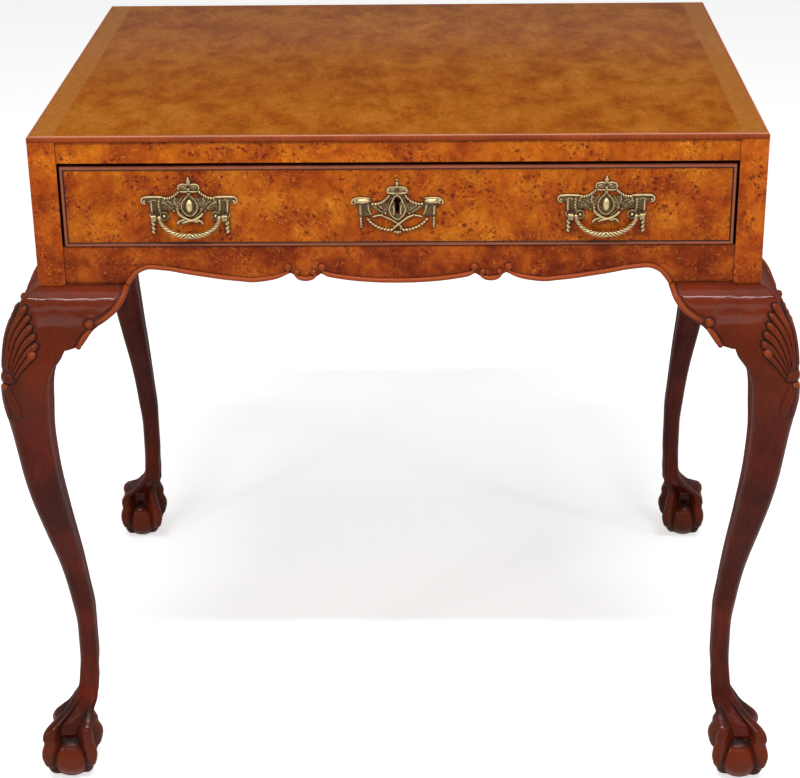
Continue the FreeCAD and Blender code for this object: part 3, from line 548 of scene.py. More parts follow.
@dataclass(frozen=True)
class BurrVeneer:
    """Burr walnut veneer, knife cut and french polished: warm blotches of colour, crowded with
    small dark eyes and pale flecks, under a clear and nearly level gloss."""

    name: str
    dark: str
    middle: str
    light: str
    eye: str = "#611A0D"
    fleck: str = "#E49437"
    eye_strength: float = 0.95
    eye_cover: float = 0.41
    # Sizes in millimetres: the clouds of colour, the swirls of the figure, the blotches, the
    # finest mottle, and the ripple that the polish leaves
    cloud: float = 34.0
    swirl: float = 60.0
    blotch: float = 9.0
    mottle: float = 2.8
    ripple: float = 9.0
    # How far a swirl bends the figure, as a share of its size
    curl: float = 0.45
    # Pitch in millimetres of the large and the small eyes, and the share of places without one
    large_eyes: tuple[float, float] = (6.8, 0.44)
    small_eyes: tuple[float, float] = (3.3, 0.5)
    depth: float = 0.3
    stretch: tuple[float, float, float] = (1.0, 1.0, 1.0)
    offset: tuple[float, float, float] = (0.0, 0.0, 0.0)
    contrast: float = 0.85
    roughness: float = 0.22
    shine: float = 0.08
    # How far from corners the painted shade and the old wax reach, in millimetres, and the open share of sky
    # where they stop
    shade_and_grime_reach: float = 5.0
    shade_and_grime_open: float = 0.8
    band: float = 0.0
    band_colour: str = "#925A25"

    def build(self) -> Material:
        """Make the material.

        Returns:
            The material.
        """
        material, tree = blank_material(self.name)
        place = add(tree, "TexCoord").outputs["Object"]
        spot = add(tree, "Mapping", {"Vector": place, "Location": self.offset, "Scale": self.stretch})
        spot = spot.outputs["Vector"]
        curled = self.curled(tree, spot)
        fine = add(tree, "TexNoise", {"Vector": curled, "Scale": 1 / (self.mottle * METRES), "Detail": 3.0,
                                      "Roughness": 0.65}).outputs[0]
        toned, shade = self.toned(tree, curled, fine)
        figured = self.figured(tree, toned, spot, curled, fine)
        if self.band:
            figured = self.banded(tree, place, figured, shade)
        # Painted shade and old wax in corners, round the beads and beside the brasses
        finished = shade_and_wax_in_corners(tree, figured, self.shade_and_grime_reach, self.shade_and_grime_open, 0.9)
        gloss = add(tree, "MapRange", {"Value": fine, "To Min": self.roughness - 0.05,
                                       "To Max": self.roughness + 0.08}).outputs[0]
        ripple = add(tree, "TexNoise", {"Vector": place, "Scale": 1 / (self.ripple * METRES),
                                        "Detail": 2.0}).outputs[0]
        bump = add(tree, "Bump", {"Height": ripple, "Strength": 0.05, "Distance": 1 * METRES}).outputs[0]
        add_shader(tree, {"Base Color": finished, "Roughness": gloss, "Normal": bump,
                          "Specular IOR Level": self.shine})
        return material

    def toned(self, tree: Tree, curled: Socket, fine: Socket) -> tuple[Socket, Socket]:
        """Lay the wood's three tones in soft clouds, mottled in blotches of two sizes.

        Args:
            tree: The material's node tree.
            curled: The bent coordinates.
            fine: The finest mottle.

        Returns:
            The ground colour, and the mottle's factor round one.
        """
        cloud = add(tree, "TexNoise", {"Vector": curled, "Scale": 1 / (self.cloud * METRES), "Detail": 6.0,
                                       "Roughness": 0.6}).outputs[0]
        spread = 0.13 / self.contrast
        tones = ((0.5 - spread, self.dark), (0.5, self.middle), (0.5 + spread, self.light))
        colour = add(tree, "ValToRGB", {0: cloud}, stops=tones).outputs[0]
        blotch = add(tree, "TexNoise", {"Vector": curled, "Scale": 1 / (self.blotch * METRES), "Detail": 4.0,
                                        "Roughness": 0.6}).outputs[0]
        both = add(tree, "Math", {0: blotch, 1: fine}, operation="ADD").outputs[0]
        shade = add(tree, "MapRange", {"Value": both, "From Min": 0.7, "From Max": 1.3,
                                       "To Min": 1 - self.depth, "To Max": 1 + self.depth}).outputs[0]
        ground = add(tree, "Mix", {0: 1.0, 6: colour, 7: shade}, data_type="RGBA", blend_type="MULTIPLY")
        return ground.outputs[2], shade

    def figured(self, tree: Tree, colour: Socket, spot: Socket, curled: Socket, fine: Socket) -> Socket:
        """Scatter pale flecks and large and small dark eyes over the wood, in crowds.

        Args:
            tree: The material's node tree.
            colour: The wood's colour.
            spot: The coordinates.
            curled: The bent coordinates.
            fine: The finest mottle.

        Returns:
            The colour with the flecks and the eyes.
        """
        group = add(tree, "TexNoise", {"Vector": spot, "Scale": 1 / (0.8 * self.cloud * METRES),
                                       "Detail": 3.0}).outputs[0]
        crowd = add(tree, "MapRange", {"Value": group, "From Min": self.eye_cover,
                                       "From Max": self.eye_cover + 0.12}).outputs[0]
        flecks = add(tree, "MapRange", {"Value": fine, "From Min": 0.58, "From Max": 0.72,
                                        "To Max": 0.6 * self.eye_strength}).outputs[0]
        flecks = add(tree, "Math", {0: flecks, 1: crowd}, operation="MULTIPLY").outputs[0]
        pale = add(tree, "Mix", {0: flecks, 6: colour, 7: linear(self.fleck)}, data_type="RGBA").outputs[2]
        large = self.eyes(tree, curled, *self.large_eyes)
        small = self.eyes(tree, curled, *self.small_eyes)
        eyes = add(tree, "Math", {0: large, 1: small}, operation="MAXIMUM").outputs[0]
        eyes = add(tree, "Math", {0: eyes, 1: crowd}, operation="MULTIPLY").outputs[0]
        eyes = add(tree, "Math", {0: eyes, 1: self.eye_strength}, operation="MULTIPLY").outputs[0]
        return add(tree, "Mix", {0: eyes, 6: pale, 7: linear(self.eye)}, data_type="RGBA").outputs[2]

    def curled(self, tree: Tree, spot: Socket) -> Socket:
        """Bend the coordinates, so that the figure curls as it does in a burr.

        Args:
            tree: The material's node tree.
            spot: The coordinates.

        Returns:
            The bent coordinates.
        """
        bend = add(tree, "TexNoise", {"Vector": spot, "Scale": 1 / (self.swirl * METRES), "Detail": 2.0})
        centred = add(tree, "VectorMath", {0: bend.outputs["Color"], 1: (0.5, 0.5, 0.5)},
                      operation="SUBTRACT")
        reach = self.swirl * self.curl * METRES
        return add(tree, "VectorMath", {0: centred.outputs[0], 1: (reach, reach, reach), 2: spot},
                   operation="MULTIPLY_ADD").outputs[0]

    @staticmethod
    def eyes(tree: Tree, spot: Socket, pitch: float, empty: float) -> Socket:
        """Dark eyes with a paler heart, scattered at a pitch.

        Args:
            tree: The material's node tree.
            spot: The coordinates.
            pitch: The eyes' distance in millimetres.
            empty: The share of places that stay without one.

        Returns:
            How dark the eyes make each place.
        """
        cells = add(tree, "TexVoronoi", {"Vector": spot, "Scale": 1 / (pitch * METRES)})
        ring = add(tree, "ValToRGB", {0: cells.outputs["Distance"]}, stops=(
            (0.0, "#C0C0C0"), (0.15, "#FFFFFF"), (0.26, "#C8C8C8"), (0.42, "#000000"))).outputs[0]
        chosen = add(tree, "Math", {0: cells.outputs["Color"], 1: empty}, operation="GREATER_THAN").outputs[0]
        return add(tree, "Math", {0: ring, 1: chosen}, operation="MULTIPLY").outputs[0]

    def banded(self, tree: Tree, place: Socket, figured: Socket, shade: Socket) -> Socket:
        """Lay the lighter crossband along both ends of the top.

        Args:
            tree: The material's node tree.
            place: The object's coordinates.
            figured: The field's colour.
            shade: The fine mottle that both share.

        Returns:
            The colour with the crossband.
        """
        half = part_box("top_board")[1].x
        axes = add(tree, "SeparateXYZ", {0: place})
        away = add(tree, "Math", {0: axes.outputs["X"]}, operation="ABSOLUTE").outputs[0]
        inside = add(tree, "MapRange", {"Value": away, "From Min": half - (self.band + 0.6) * METRES,
                                        "From Max": half - (self.band - 0.2) * METRES}).outputs[0]
        band = add(tree, "Mix", {0: 1.0, 6: linear(self.band_colour), 7: shade}, data_type="RGBA",
                   blend_type="MULTIPLY").outputs[2]
        return add(tree, "Mix", {0: inside, 6: figured, 7: band}, data_type="RGBA").outputs[2]


@dataclass(frozen=True)
class CarvedMahogany:
    """Mahogany, carved by hand, stained dark and waxed: a deep red brown that is rubbed lighter on
    what stands proud, painted light as a highlight on some crowns and arrises, with black wax and painted
    shade in the hollows and a soft gloss."""

    name: str = "carved_waxed_mahogany"
    deep: str = "#3E1005"
    middle: str = "#5C1A08"
    wear_and_highlight_colour: str = "#A64C21"
    roughness: float = 0.12
    shine: float = 0.09
    # Sizes in millimetres of the grain, of its clouds of colour and of the tool's facets
    grain: float = 2.2
    cloud: float = 70.0
    facet: float = 16.0
    # How far the painted shade and the wax reach from corners, in millimetres
    shade_and_grime_reach: float = 7.0
    # How much duller the wax is where it is seen at a grazing angle
    glance_dulling: float = 0.8

    def build(self) -> Material:
        """Make the material.

        Returns:
            The material.
        """
        material, tree = blank_material(self.name)
        place = add(tree, "TexCoord").outputs["Object"]
        stretched = add(tree, "Mapping", {"Vector": place, "Scale": (1.0, 1.0, 0.08)}).outputs["Vector"]
        grain = add(tree, "TexNoise", {"Vector": stretched, "Scale": 1 / (self.grain * METRES), "Detail": 4.0,
                                       "Roughness": 0.6}).outputs[0]
        cloud = add(tree, "TexNoise", {"Vector": place, "Scale": 1 / (self.cloud * METRES),
                                       "Detail": 3.0}).outputs[0]
        tone = add(tree, "Math", {0: grain, 1: 0.45, 2: cloud}, operation="MULTIPLY_ADD").outputs[0]
        base = add(tree, "ValToRGB", {0: tone}, stops=((0.58, self.deep), (0.86, self.middle))).outputs[0]
        # Rubbed lighter where it stands proud; on the lipping's arris and the bead's crown it is a painted
        # highlight
        wear_and_highlight = add(tree, "Attribute", attribute_name="wear_and_highlight").outputs["Fac"]
        worn_and_lit = add(tree, "Mix", {0: wear_and_highlight, 6: base, 7: linear(self.wear_and_highlight_colour)}, data_type="RGBA").outputs[2]
        # Wax and painted shade from the carving's own grooves, and from corners
        carved = add(tree, "Attribute", attribute_name="wax").outputs["Fac"]
        finished = shade_and_wax_in_corners(tree, worn_and_lit, self.shade_and_grime_reach, 0.78, 0.9, carved)
        rough = add(tree, "MapRange", {"Value": carved, "To Min": self.roughness, "To Max": 0.55}).outputs[0]
        glance = add(tree, "LayerWeight", {"Blend": 0.5}).outputs["Facing"]
        dulled = add(tree, "MapRange", {"Value": glance, "From Min": 0.55, "From Max": 0.9,
                                        "To Max": self.glance_dulling}).outputs[0]
        gloss = add(tree, "Math", {0: rough, 1: dulled}, operation="ADD", use_clamp=True).outputs[0]
        tool = add(tree, "TexNoise", {"Vector": place, "Scale": 1 / (self.facet * METRES),
                                      "Detail": 1.0}).outputs[0]
        waver = add(tree, "Bump", {"Height": tool, "Strength": 0.35, "Distance": 2 * METRES}).outputs[0]
        pores = add(tree, "Bump", {"Height": grain, "Strength": 0.05, "Distance": 0.5 * METRES,
                                   "Normal": waver}).outputs[0]
        add_shader(tree, {"Base Color": finished, "Roughness": gloss, "Normal": pores,
                          "Specular IOR Level": self.shine})
        return material


@dataclass(frozen=True)
class CastBrass:
    """Sand cast brass with a century of patina: dull gold where hands wear it, brown black in the
    hollows of the ornament, where painted shade darkens it further."""

    name: str = "cast_brass_patina"
    bright: str = "#BEA97C"
    dull: str = "#68543C"
    patina: str = "#281F15"
    roughness: float = 0.34
    # Sizes in millimetres of the sand's grain and of the hollows that hold patina and painted shade
    sand: float = 2.4
    shade_and_grime_reach: float = 2.2
    # How bright a casting is that has no rubbing of its own
    plain: float = 0.0

    def build(self) -> Material:
        """Make the material.

        Returns:
            The material.
        """
        material, tree = blank_material(self.name)
        place = add(tree, "TexCoord").outputs["Object"]
        cast = add(tree, "TexNoise", {"Vector": place, "Scale": 1 / (self.sand * METRES),
                                      "Detail": 4.0}).outputs[0]
        wear_and_highlight = add(tree, "Attribute", attribute_name="wear_and_highlight").outputs["Fac"]
        proud = add(tree, "Math", {0: wear_and_highlight, 1: self.plain}, operation="MAXIMUM").outputs[0]
        worn_and_lit = add(tree, "Math", {0: proud, 1: cast}, operation="ADD").outputs[0]
        worn_and_lit = add(tree, "Math", {0: worn_and_lit, 1: 0.5}, operation="SUBTRACT").outputs[0]
        base = add(tree, "ValToRGB", {0: worn_and_lit}, stops=(
            (0.0, self.patina), (0.35, self.dull), (1.0, self.bright))).outputs[0]
        # Patina and painted shade in the hollows, by how little sky they see
        sky = add(tree, "AmbientOcclusion", {"Distance": self.shade_and_grime_reach * METRES}, samples=8).outputs["AO"]
        shade_and_grime = add(tree, "MapRange", {"Value": sky, "From Min": 0.3, "From Max": 0.72, "To Min": 0.9,
                                      "To Max": 0.0}, interpolation_type="SMOOTHSTEP").outputs[0]
        aged = add(tree, "Mix", {0: shade_and_grime, 6: base, 7: linear(self.patina)}, data_type="RGBA").outputs[2]
        rough = add(tree, "MapRange", {"Value": proud, "To Min": 0.6, "To Max": self.roughness}).outputs[0]
        sand = add(tree, "Bump", {"Height": cast, "Strength": 0.2, "Distance": 0.3 * METRES}).outputs[0]
        add_shader(tree, {"Base Color": aged, "Roughness": rough, "Normal": sand, "Metallic": 1.0})
        return material


@dataclass(frozen=True)
class PlainMetal:
    """Rolled sheet or drawn bar, filed and left bare: fine straight scratches and a dull shine, with painted
    shade in its corners and recesses.
    """

    name: str
    bright: str
    dull: str
    scratch: float = 0.6
    roughness: float = 0.38

    def build(self) -> Material:
        """Make the material.

        Returns:
            The material.
        """
        material, tree = blank_material(self.name)
        place = add(tree, "TexCoord").outputs["Object"]
        drawn = add(tree, "Mapping", {"Vector": place, "Scale": (0.1, 1.0, 1.0)}).outputs["Vector"]
        scratch = add(tree, "TexNoise", {"Vector": drawn, "Scale": 1 / (self.scratch * METRES),
                                         "Detail": 3.0}).outputs[0]
        base = add(tree, "ValToRGB", {0: scratch}, stops=((0.3, self.dull), (0.7, self.bright))).outputs[0]
        # Painted shade in corners and recesses, such as the lock seen through the keyhole
        shaded_colour = shade_and_wax_in_corners(tree, base, 14.0, 0.8, 1.0)
        rough = add(tree, "MapRange", {"Value": scratch, "To Min": self.roughness - 0.08,
                                       "To Max": self.roughness + 0.1}).outputs[0]
        bump = add(tree, "Bump", {"Height": scratch, "Strength": 0.1, "Distance": 0.1 * METRES}).outputs[0]
        add_shader(tree, {"Base Color": shaded_colour, "Roughness": rough, "Normal": bump, "Metallic": 1.0})
        return material


@dataclass(frozen=True)
class BareBoard:
    """Planed oak or pine, unpolished inside the case: straight grain, open pores and age."""

    name: str
    dark: str
    light: str
    along: tuple[float, float, float] = (1.0, 0.06, 1.0)
    ring: float = 7.0
    pore: float = 0.9

    def build(self) -> Material:
        """Make the material.

        Returns:
            The material.
        """
        material, tree = blank_material(self.name)
        place = add(tree, "TexCoord").outputs["Object"]
        drawn = add(tree, "Mapping", {"Vector": place, "Scale": self.along}).outputs["Vector"]
        ring = add(tree, "TexNoise", {"Vector": drawn, "Scale": 1 / (self.ring * METRES), "Detail": 5.0,
                                      "Roughness": 0.65, "Distortion": 0.3}).outputs[0]
        pores = add(tree, "TexNoise", {"Vector": drawn, "Scale": 1 / (self.pore * METRES),
                                       "Detail": 2.0}).outputs[0]
        tone = add(tree, "Math", {0: pores, 1: 0.35, 2: ring}, operation="MULTIPLY_ADD").outputs[0]
        base = add(tree, "ValToRGB", {0: tone}, stops=((0.5, self.dark), (0.85, self.light))).outputs[0]
        bump = add(tree, "Bump", {"Height": pores, "Strength": 0.2, "Distance": 0.3 * METRES}).outputs[0]
        add_shader(tree, {"Base Color": base, "Normal": bump, "Roughness": 0.62, "Specular IOR Level": 0.3})
        return material


# The carved leg

@dataclass
class KneeCarving:
    """The carving on one side of a knee, cut motif by motif.

    For each place on the knee it keeps how far the carving stands out, the wax and painted shade in
    it, how much it is rubbed and how far away the nearest motif is.
    """

    # Distance from the corner's line, along the surface, and height
    s: Points
    z: Points

    def __post_init__(self) -> None:
        """Start from a plain knee."""
        self.stand = np.zeros(self.s.shape)
        self.wax = np.zeros(self.s.shape)
        self.wear_and_highlight = np.zeros(self.s.shape)
        self.near = np.full(self.s.shape, np.inf)

    def cut(self, stand: Points, over: Points | bool, wax: Points, near: Points) -> None:
        """Add one motif.

        Args:
            stand: How far it stands out.
            over: Where it covers the wax and painted shade of what was cut before.
            wax: The wax and painted shade in the groove round it.
            near: How far away it is.
        """
        self.stand = np.maximum(self.stand, stand)
        self.wax = np.where(over, 0, np.maximum(self.wax, wax))
        self.near = np.minimum(self.near, near)

    def fan(self, lines: Sequence[Points]) -> None:
        """Cut the shell's ribs, each as wide as its neighbours leave room for.

        Args:
            lines: The ribs' routes.
        """
        found = [near_line(self.s, self.z, line) for line in lines]
        gaps = np.stack([gap for gap, _ in found])
        order = np.argsort(gaps, axis=0)
        first, second = [np.take_along_axis(gaps, order[rank:rank + 1], axis=0)[0] for rank in (0, 1)]
        share = np.take_along_axis(np.stack([part for _, part in found]), order[:1], axis=0)[0]
        room = np.minimum((first + second) / 2, 1.3 + 3.7 * share ** 0.7)
        ratio = np.clip(first / np.maximum(room, 0.3), 0, 1)
        stand = (1.7 + 1.3 * share) * np.sqrt(1 - ratio ** 2.4) * smooth_step(share, -0.02, 0.12)
        near = first - room
        # Wax and painted shade in the grooves between the ribs
        wax = smooth_step(ratio, 0.6, 1.0) * (share > 0.02) * (1 - smooth_step(near, 0.2, 1.4))
        self.cut(stand, False, wax, near)
        self.wear_and_highlight = 0.08 * smooth_step(stand, 1.4, 2.8)

    def dome(self, away: Points, size: float, rise: float, clean: float, wax: float, groove: float) -> None:
        """Cut a rounded knob.

        Args:
            away: Distance from its middle, where one is its rim.
            size: What one stands for, in millimetres.
            rise: How far its middle stands out.
            clean: How far from its middle it is free of wax and painted shade, in the same measure as away.
            wax: How much wax and painted shade lie round it.
            groove: How wide they lie, in millimetres.
        """
        ring = wax * np.exp(-((away - 1) * size / groove) ** 2)
        self.cut(rise * np.sqrt(np.clip(1 - away ** 2, 0, 1)), away < clean, ring, (away - 1) * size)

    def leaf(self, line: Points, half: float) -> None:
        """Cut one leaf of the husk.

        Args:
            line: Its middle vein.
            half: Half of its greatest width.
        """
        gap, along = near_line(self.s, self.z, line)
        width = half * (0.5 + 0.5 * np.sin(math.pi * np.clip(along * 0.8 + 0.12, 0, 1)))
        stand = 1.9 * np.sqrt(np.clip(1 - (gap / width) ** 2, 0, 1)) * (1 - 0.3 * along)
        self.cut(stand, stand > 0.5, 0.7 * np.exp(-((gap - width) / 1.1) ** 2), gap - width)


@dataclass
class CarvedLeg:
    """A cabriole leg in one piece, from its post to its claw-and-ball foot.

    It is modelled in the frame of a corner of the case: u and v run inwards from the case's two
    outer faces and z runs up, all in millimetres. Tables give a height and what it has there.
    """

    case: Case
    # Points round a ring, the rings' steps, and the furthest that the knee stands out
    columns: int = 208
    knee_step: float = 0.72
    shank_step: float = 4.2
    foot_step: float = 0.95
    reach_limit: float = 43.45
    # Heights: where the knee is carved, where the foot's surface turns into the shank's, and
    # where its middle does
    knee: tuple[float, float] = (455.0, 592.0)
    ankle: tuple[float, float] = (105.0, 150.0)
    settling: tuple[float, float] = (105.0, 119.0)
    # How far the post lies in from the case's faces, behind the stile's facing, and its rounding
    post_inset: float = 3.0
    post_edge: float = 0.4
    # The ball: its radius, the height of its middle, and the height of the palm's edge over it
    ball_radius: float = 27.5
    ball_height: float = 26.0
    palm_edge: float = 52.8
    outer: Table = (
        (600, -3), (597.5, -9.4), (594, -13.2), (588, -18.2), (583.5, -21), (573, -26), (565, -30.6),
        (551, -35), (539, -37.6), (522, -39.6), (510, -40.4), (497, -41.2), (481, -41.3), (466.5, -39.8),
        (444, -36.5), (420, -33.6), (390, -30), (362, -25.5), (315, -15.3), (260, -3), (218, 3.1),
        (181, 6.6), (150, 6.6), (119, 5.3), (110, 5),
    )
    inner: Table = (
        (600, 28.5), (547, 28.5), (540, 27.4), (531, 24), (525.7, 19.9), (520, 15.6), (509.3, 11),
        (498, 8.1), (485, 6.9), (471, 6.4), (442, 5.1), (401.6, 6.7), (342.5, 12.8), (280, 20.9),
        (241, 24.9), (204, 28.1), (150, 28.1), (119, 25.5), (110, 25),
    )
    # Heights, then the rounding of the outer, the side and the inner edges
    edges: Table = (
        (600, 2, 0.05, 1), (590, 5, 0.05, 1), (570, 9, 0.05, 1), (546, 12, 0.05, 2),
        (541, 12.4, 1, 3), (525, 12.5, 5.5, 5), (490, 12, 8.5, 8), (440, 10.5, 9, 9),
        (380, 9.5, 9, 9), (320, 9, 9, 9), (260, 9, 8.6, 8.6), (200, 8.6, 8.4, 8.4),
        (150, 8.4, 8.2, 8.2), (110, 8, 8, 8),
    )
    # The foot: the middle of the section, the talon's reach from it, the talon's half thickness
    # and the reach of the web between the talons
    foot: Table = (
        (150, 17.3, 13.6, 5, 10.6), (119, 15.4, 13.9, 4.6, 10.4), (105, 13.8, 13.9, 4.6, 10.4),
        (97, 11.4, 13.8, 4.4, 10.2), (90, 8, 14.8, 4.4, 10), (82, 3, 18, 4.6, 10.4),
        (75, -2.4, 24.6, 5, 11), (68, -7.2, 31, 5.6, 11.2), (62, -8.4, 34.4, 6.2, 11),
        (57, -8.4, 35.5, 6.4, 10.8), (53, -8.2, 35.5, 6.1, 11), (48, -8, 36.9, 6.3, 11),
        (42, -8, 39.3, 7, 11), (36, -8, 40.1, 7, 11), (29, -8, 38.7, 6, 11),
        (22, -8, 35.9, 5.6, 11), (20.4, -8, 33.9, 4.8, 11), (14, -8, 31, 4.5, 11),
        (9, -8, 26.8, 3.9, 11), (6.4, -8, 20.6, 2.8, 11), (4, -8, 14.6, 2.3, 11),
        (0, -8, 7, 2.3, 11),
    )
    # Where the talons lie, as angles from the outer corner's diagonal, and the heel's extra reach
    talon_turns: Table = ((0, 0), (100, 90), (180, 180))
    heel: float = 0.11
    # The shell's ribs on one side of the corner: distance from the corner's line, and height
    ribs: tuple[Table, ...] = (
        ((2, 516), (2.6, 540), (3.6, 556), (5, 570), (6.4, 581.5)),
        ((4.2, 516), (5.6, 541), (7.2, 553), (9.8, 562.5), (13.8, 572.6)),
        ((6.2, 516), (9.4, 534), (12.2, 546), (15.6, 555.5), (20.6, 563.8)),
        ((8, 515.5), (12.4, 529), (16.4, 540.5), (20.6, 548.6), (26.8, 555.2)),
        ((9.6, 514), (15, 525.6), (20.4, 534.4), (25.2, 540.4), (31.2, 545.8)),
        ((10.4, 508.5), (14.8, 516), (19.2, 523.4), (24, 530), (29.6, 536.8)),
    )
    # The knobs at the tips of the small ribs and of the last one: radius, rise and rubbing
    small_knob: tuple[float, float, float] = (3.1, 3.5, 0.12)
    large_knob: tuple[float, float, float] = (4.9, 3.9, 0.4)
    # The husk's leaves and their half widths, and the heights of the collar over it and its knob
    leaves: tuple[Table, ...] = (
        ((0, 499), (0, 482), (0, 466)),
        ((5.4, 499), (8, 488), (11.2, 477), (12.6, 469)),
    )
    leaf_widths: tuple[float, ...] = (5.4, 5.0)
    collar: float = 511.5
    husk_knob: float = 501.5
    smoothing: float = 3.2

    def profile(self, z: Points, table: Table) -> Points:
        """Even out a line of the knee and shank, as a spokeshave leaves it.

        Args:
            z: Heights.
            table: The line's rows.

        Returns:
            Where the line lies at those heights.
        """
        low, high = table[-1][0], table[0][0]
        even = np.arange(low, high + 0.25, 0.5)
        rough = smooth_table(even, table)
        reach = int(3 * self.smoothing / 0.5)
        kernel = np.exp(-(np.arange(-reach, reach + 1) * 0.5 / self.smoothing) ** 2 / 2)
        before = 2 * rough[0] - rough[reach:0:-1]
        after = 2 * rough[-1] - rough[-2:-reach - 2:-1]
        smooth = np.convolve(np.concatenate([before, rough, after]), kernel / kernel.sum(), mode="valid")
        return np.interp(z, even, smooth)

    def sections(self, z: Points) -> tuple[Points, Points, Points]:
        """Read the knee's and shank's rounded squares.

        Args:
            z: Heights.

        Returns:
            Their middles, their half sides and the radii of their three kinds of edge.
        """
        low = self.profile(z, self.outer)
        high = self.profile(z, self.inner)
        radii = np.stack([smooth_table(z, self.edges, column) for column in (1, 2, 3)], axis=-1)
        half = (high - low) / 2
        return (high + low) / 2, half, np.minimum(radii, half[..., None] * 0.98)

    @staticmethod
    def square_reach(turn: Points, half: Points, radii: Points) -> Points:
        """Distance from a rounded square's middle to its edge.

        Args:
            turn: Angle from the outer corner's diagonal, from 0 to pi.
            half: Half of the square's side.
            radii: The rounding of the outer, side and inner corners, along the last axis.

        Returns:
            The distance in that direction.
        """
        angle = turn + math.pi / 4
        one, other = np.cos(angle), np.sin(angle)
        near = np.stack([np.abs(one), np.abs(other)], axis=-1)
        quadrant = np.where(turn < math.pi / 4, 0, np.where(turn < 3 * math.pi / 4, 1, 2))
        radius = np.take_along_axis(radii, quadrant[..., None], axis=-1)[..., 0]
        low = np.zeros_like(turn)
        high = half * 1.5
        for _ in range(26):
            middle = (low + high) / 2
            gap = near * middle[..., None] - half[..., None] + radius[..., None]
            away = np.linalg.norm(np.maximum(gap, 0), axis=-1) + np.minimum(gap.max(axis=-1), 0) - radius
            low = np.where(away < 0, middle, low)
            high = np.where(away < 0, high, middle)
        return (low + high) / 2

    def heights(self) -> Points:
        """Space the rings, closest over the shell and the foot.

        Returns:
            The rings' heights.
        """
        parts = [
            np.arange(0.0, 118.0, self.foot_step),
            np.arange(118.0, 456.0, self.shank_step),
            np.arange(456.0, 588.0, self.knee_step),
            np.arange(588.0, self.case.leg_height, 1.2),
            [self.case.leg_height],
        ]
        return np.concatenate(parts)

    def directions(self, z: Points) -> tuple[Points, Points]:
        """Spread the columns round each ring, closest beside the shell.

        Args:
            z: The rings' heights.

        Returns:
            Each column's angle from the outer corner, and its distance along the surface.
        """
        fine = np.linspace(0, math.pi, 721)
        middle, half, radii = self.sections(z)
        grid = np.broadcast_to(fine, (len(z), len(fine)))
        reach = self.square_reach(grid, half[:, None], np.broadcast_to(radii[:, None], (*grid.shape, 3)))
        x, y = reach * np.cos(grid), reach * np.sin(grid)
        steps = np.hypot(np.diff(x, axis=1), np.diff(y, axis=1))
        length = np.concatenate([np.zeros((len(z), 1)), np.cumsum(steps, axis=1)], axis=1)
        half_count = self.columns // 2
        even = np.linspace(0, 1, half_count + 1)
        dense = np.interp(even, (0, 0.62, 1), (0, 0.45, 1))
        knee = smooth_step(z, 300, 440)[:, None]
        share = dense * knee + even * (1 - knee)
        turn = np.array([np.interp(s * l[-1], l, fine) for s, l in zip(share, length)])
        return turn, share * length[:, -1:]

    def foot_reach(self, turn: Points, z: Points) -> tuple[Points, Points, Points]:
        """The foot's surface round its middle.

        Args:
            turn: Angle from the outer corner's diagonal.
            z: Height, alike in shape.

        Returns:
            The distance from the middle, the wax and painted shade in its creases with a painted shadow under
            the palm's edge, and how much it is rubbed.
        """
        _, long_reach, thick, web = [smooth_table(z, self.foot, column) for column in (1, 2, 3, 4)]
        even, warped = np.radians(np.array(self.talon_turns, float)).T
        seen = np.interp(turn, even, warped)
        off = np.abs((seen + math.pi / 4) % (math.pi / 2) - math.pi / 4)
        back = smooth_step(turn, 2.3, 2.9) * smooth_step(z, 78, 48) * smooth_step(z, 4, 26)
        long_reach = long_reach * (1 + self.heel * back)
        side = long_reach * np.sin(off) / thick
        drop = side ** 1.6 / 1.6 + 24 * np.maximum(side - 0.9, 0) ** 3
        talon = np.maximum(long_reach - thick * drop, 1.0)
        tall = self.ball_radius ** 2 - (z - self.ball_height) ** 2
        globe = np.sqrt(np.maximum(tall, 0.5))
        arch = (math.pi / 4 - off) / math.radians(28)
        lip = self.palm_edge - 2.2 * np.clip(arch, 0, 1.2) ** 2
        held = smooth_step(z, lip - 0.7, lip + 0.7)
        flat = web / np.cos((math.pi / 4 - off) * (1 - smooth_step(z, 88, 112)))
        palm = np.maximum(flat, np.where(z < 54, globe + 2.2, 0))
        under = globe * (1 - held) + palm * held
        blend = 0.9 + 9.0 * smooth_step(z, 50, 58) * (1 - smooth_step(z, 88, 110))
        surface = soft_max(talon, under, blend)
        # Wax and painted shade where the talons meet the ball
        crease = np.exp(-((talon - under) / 6.5) ** 2) * (1 - smooth_step(z, 78, 100))
        # A painted shadow just under the palm's edge
        edge = np.exp(-((z - lip + 2.4) / 3.6) ** 2) * (talon < under + 1)
        talons = 0.14 * smooth_step(talon - under, 2.0, 9.0) * (1 - smooth_step(z, 50, 80))
        front = 0.16 * smooth_step(globe, 17.0, 26.5) * (1 - held) * (talon < under)
        return surface, np.clip(np.maximum(crease, edge), 0, 1), np.maximum(talons, front)

    def relief(self, s: Points, z: Points) -> tuple[Points, Points, Points]:
        """The shell, its collar and the husk below it.

        Args:
            s: Distance from the corner's line, along the surface.
            z: Height.

        Returns:
            How far the carving stands out, the wax and painted shade in it and how much it is rubbed.
        """
        carving = KneeCarving(s, z)
        lines = [route(points, 90) for points in self.ribs]
        carving.fan([*lines, lines[0] * np.array([-1.0, 1.0])])
        for number, line in enumerate(lines):
            radius, rise, wear_and_highlight = self.large_knob if number == len(lines) - 1 else self.small_knob
            away = np.hypot(s - line[-1][0], z - line[-1][1]) / radius
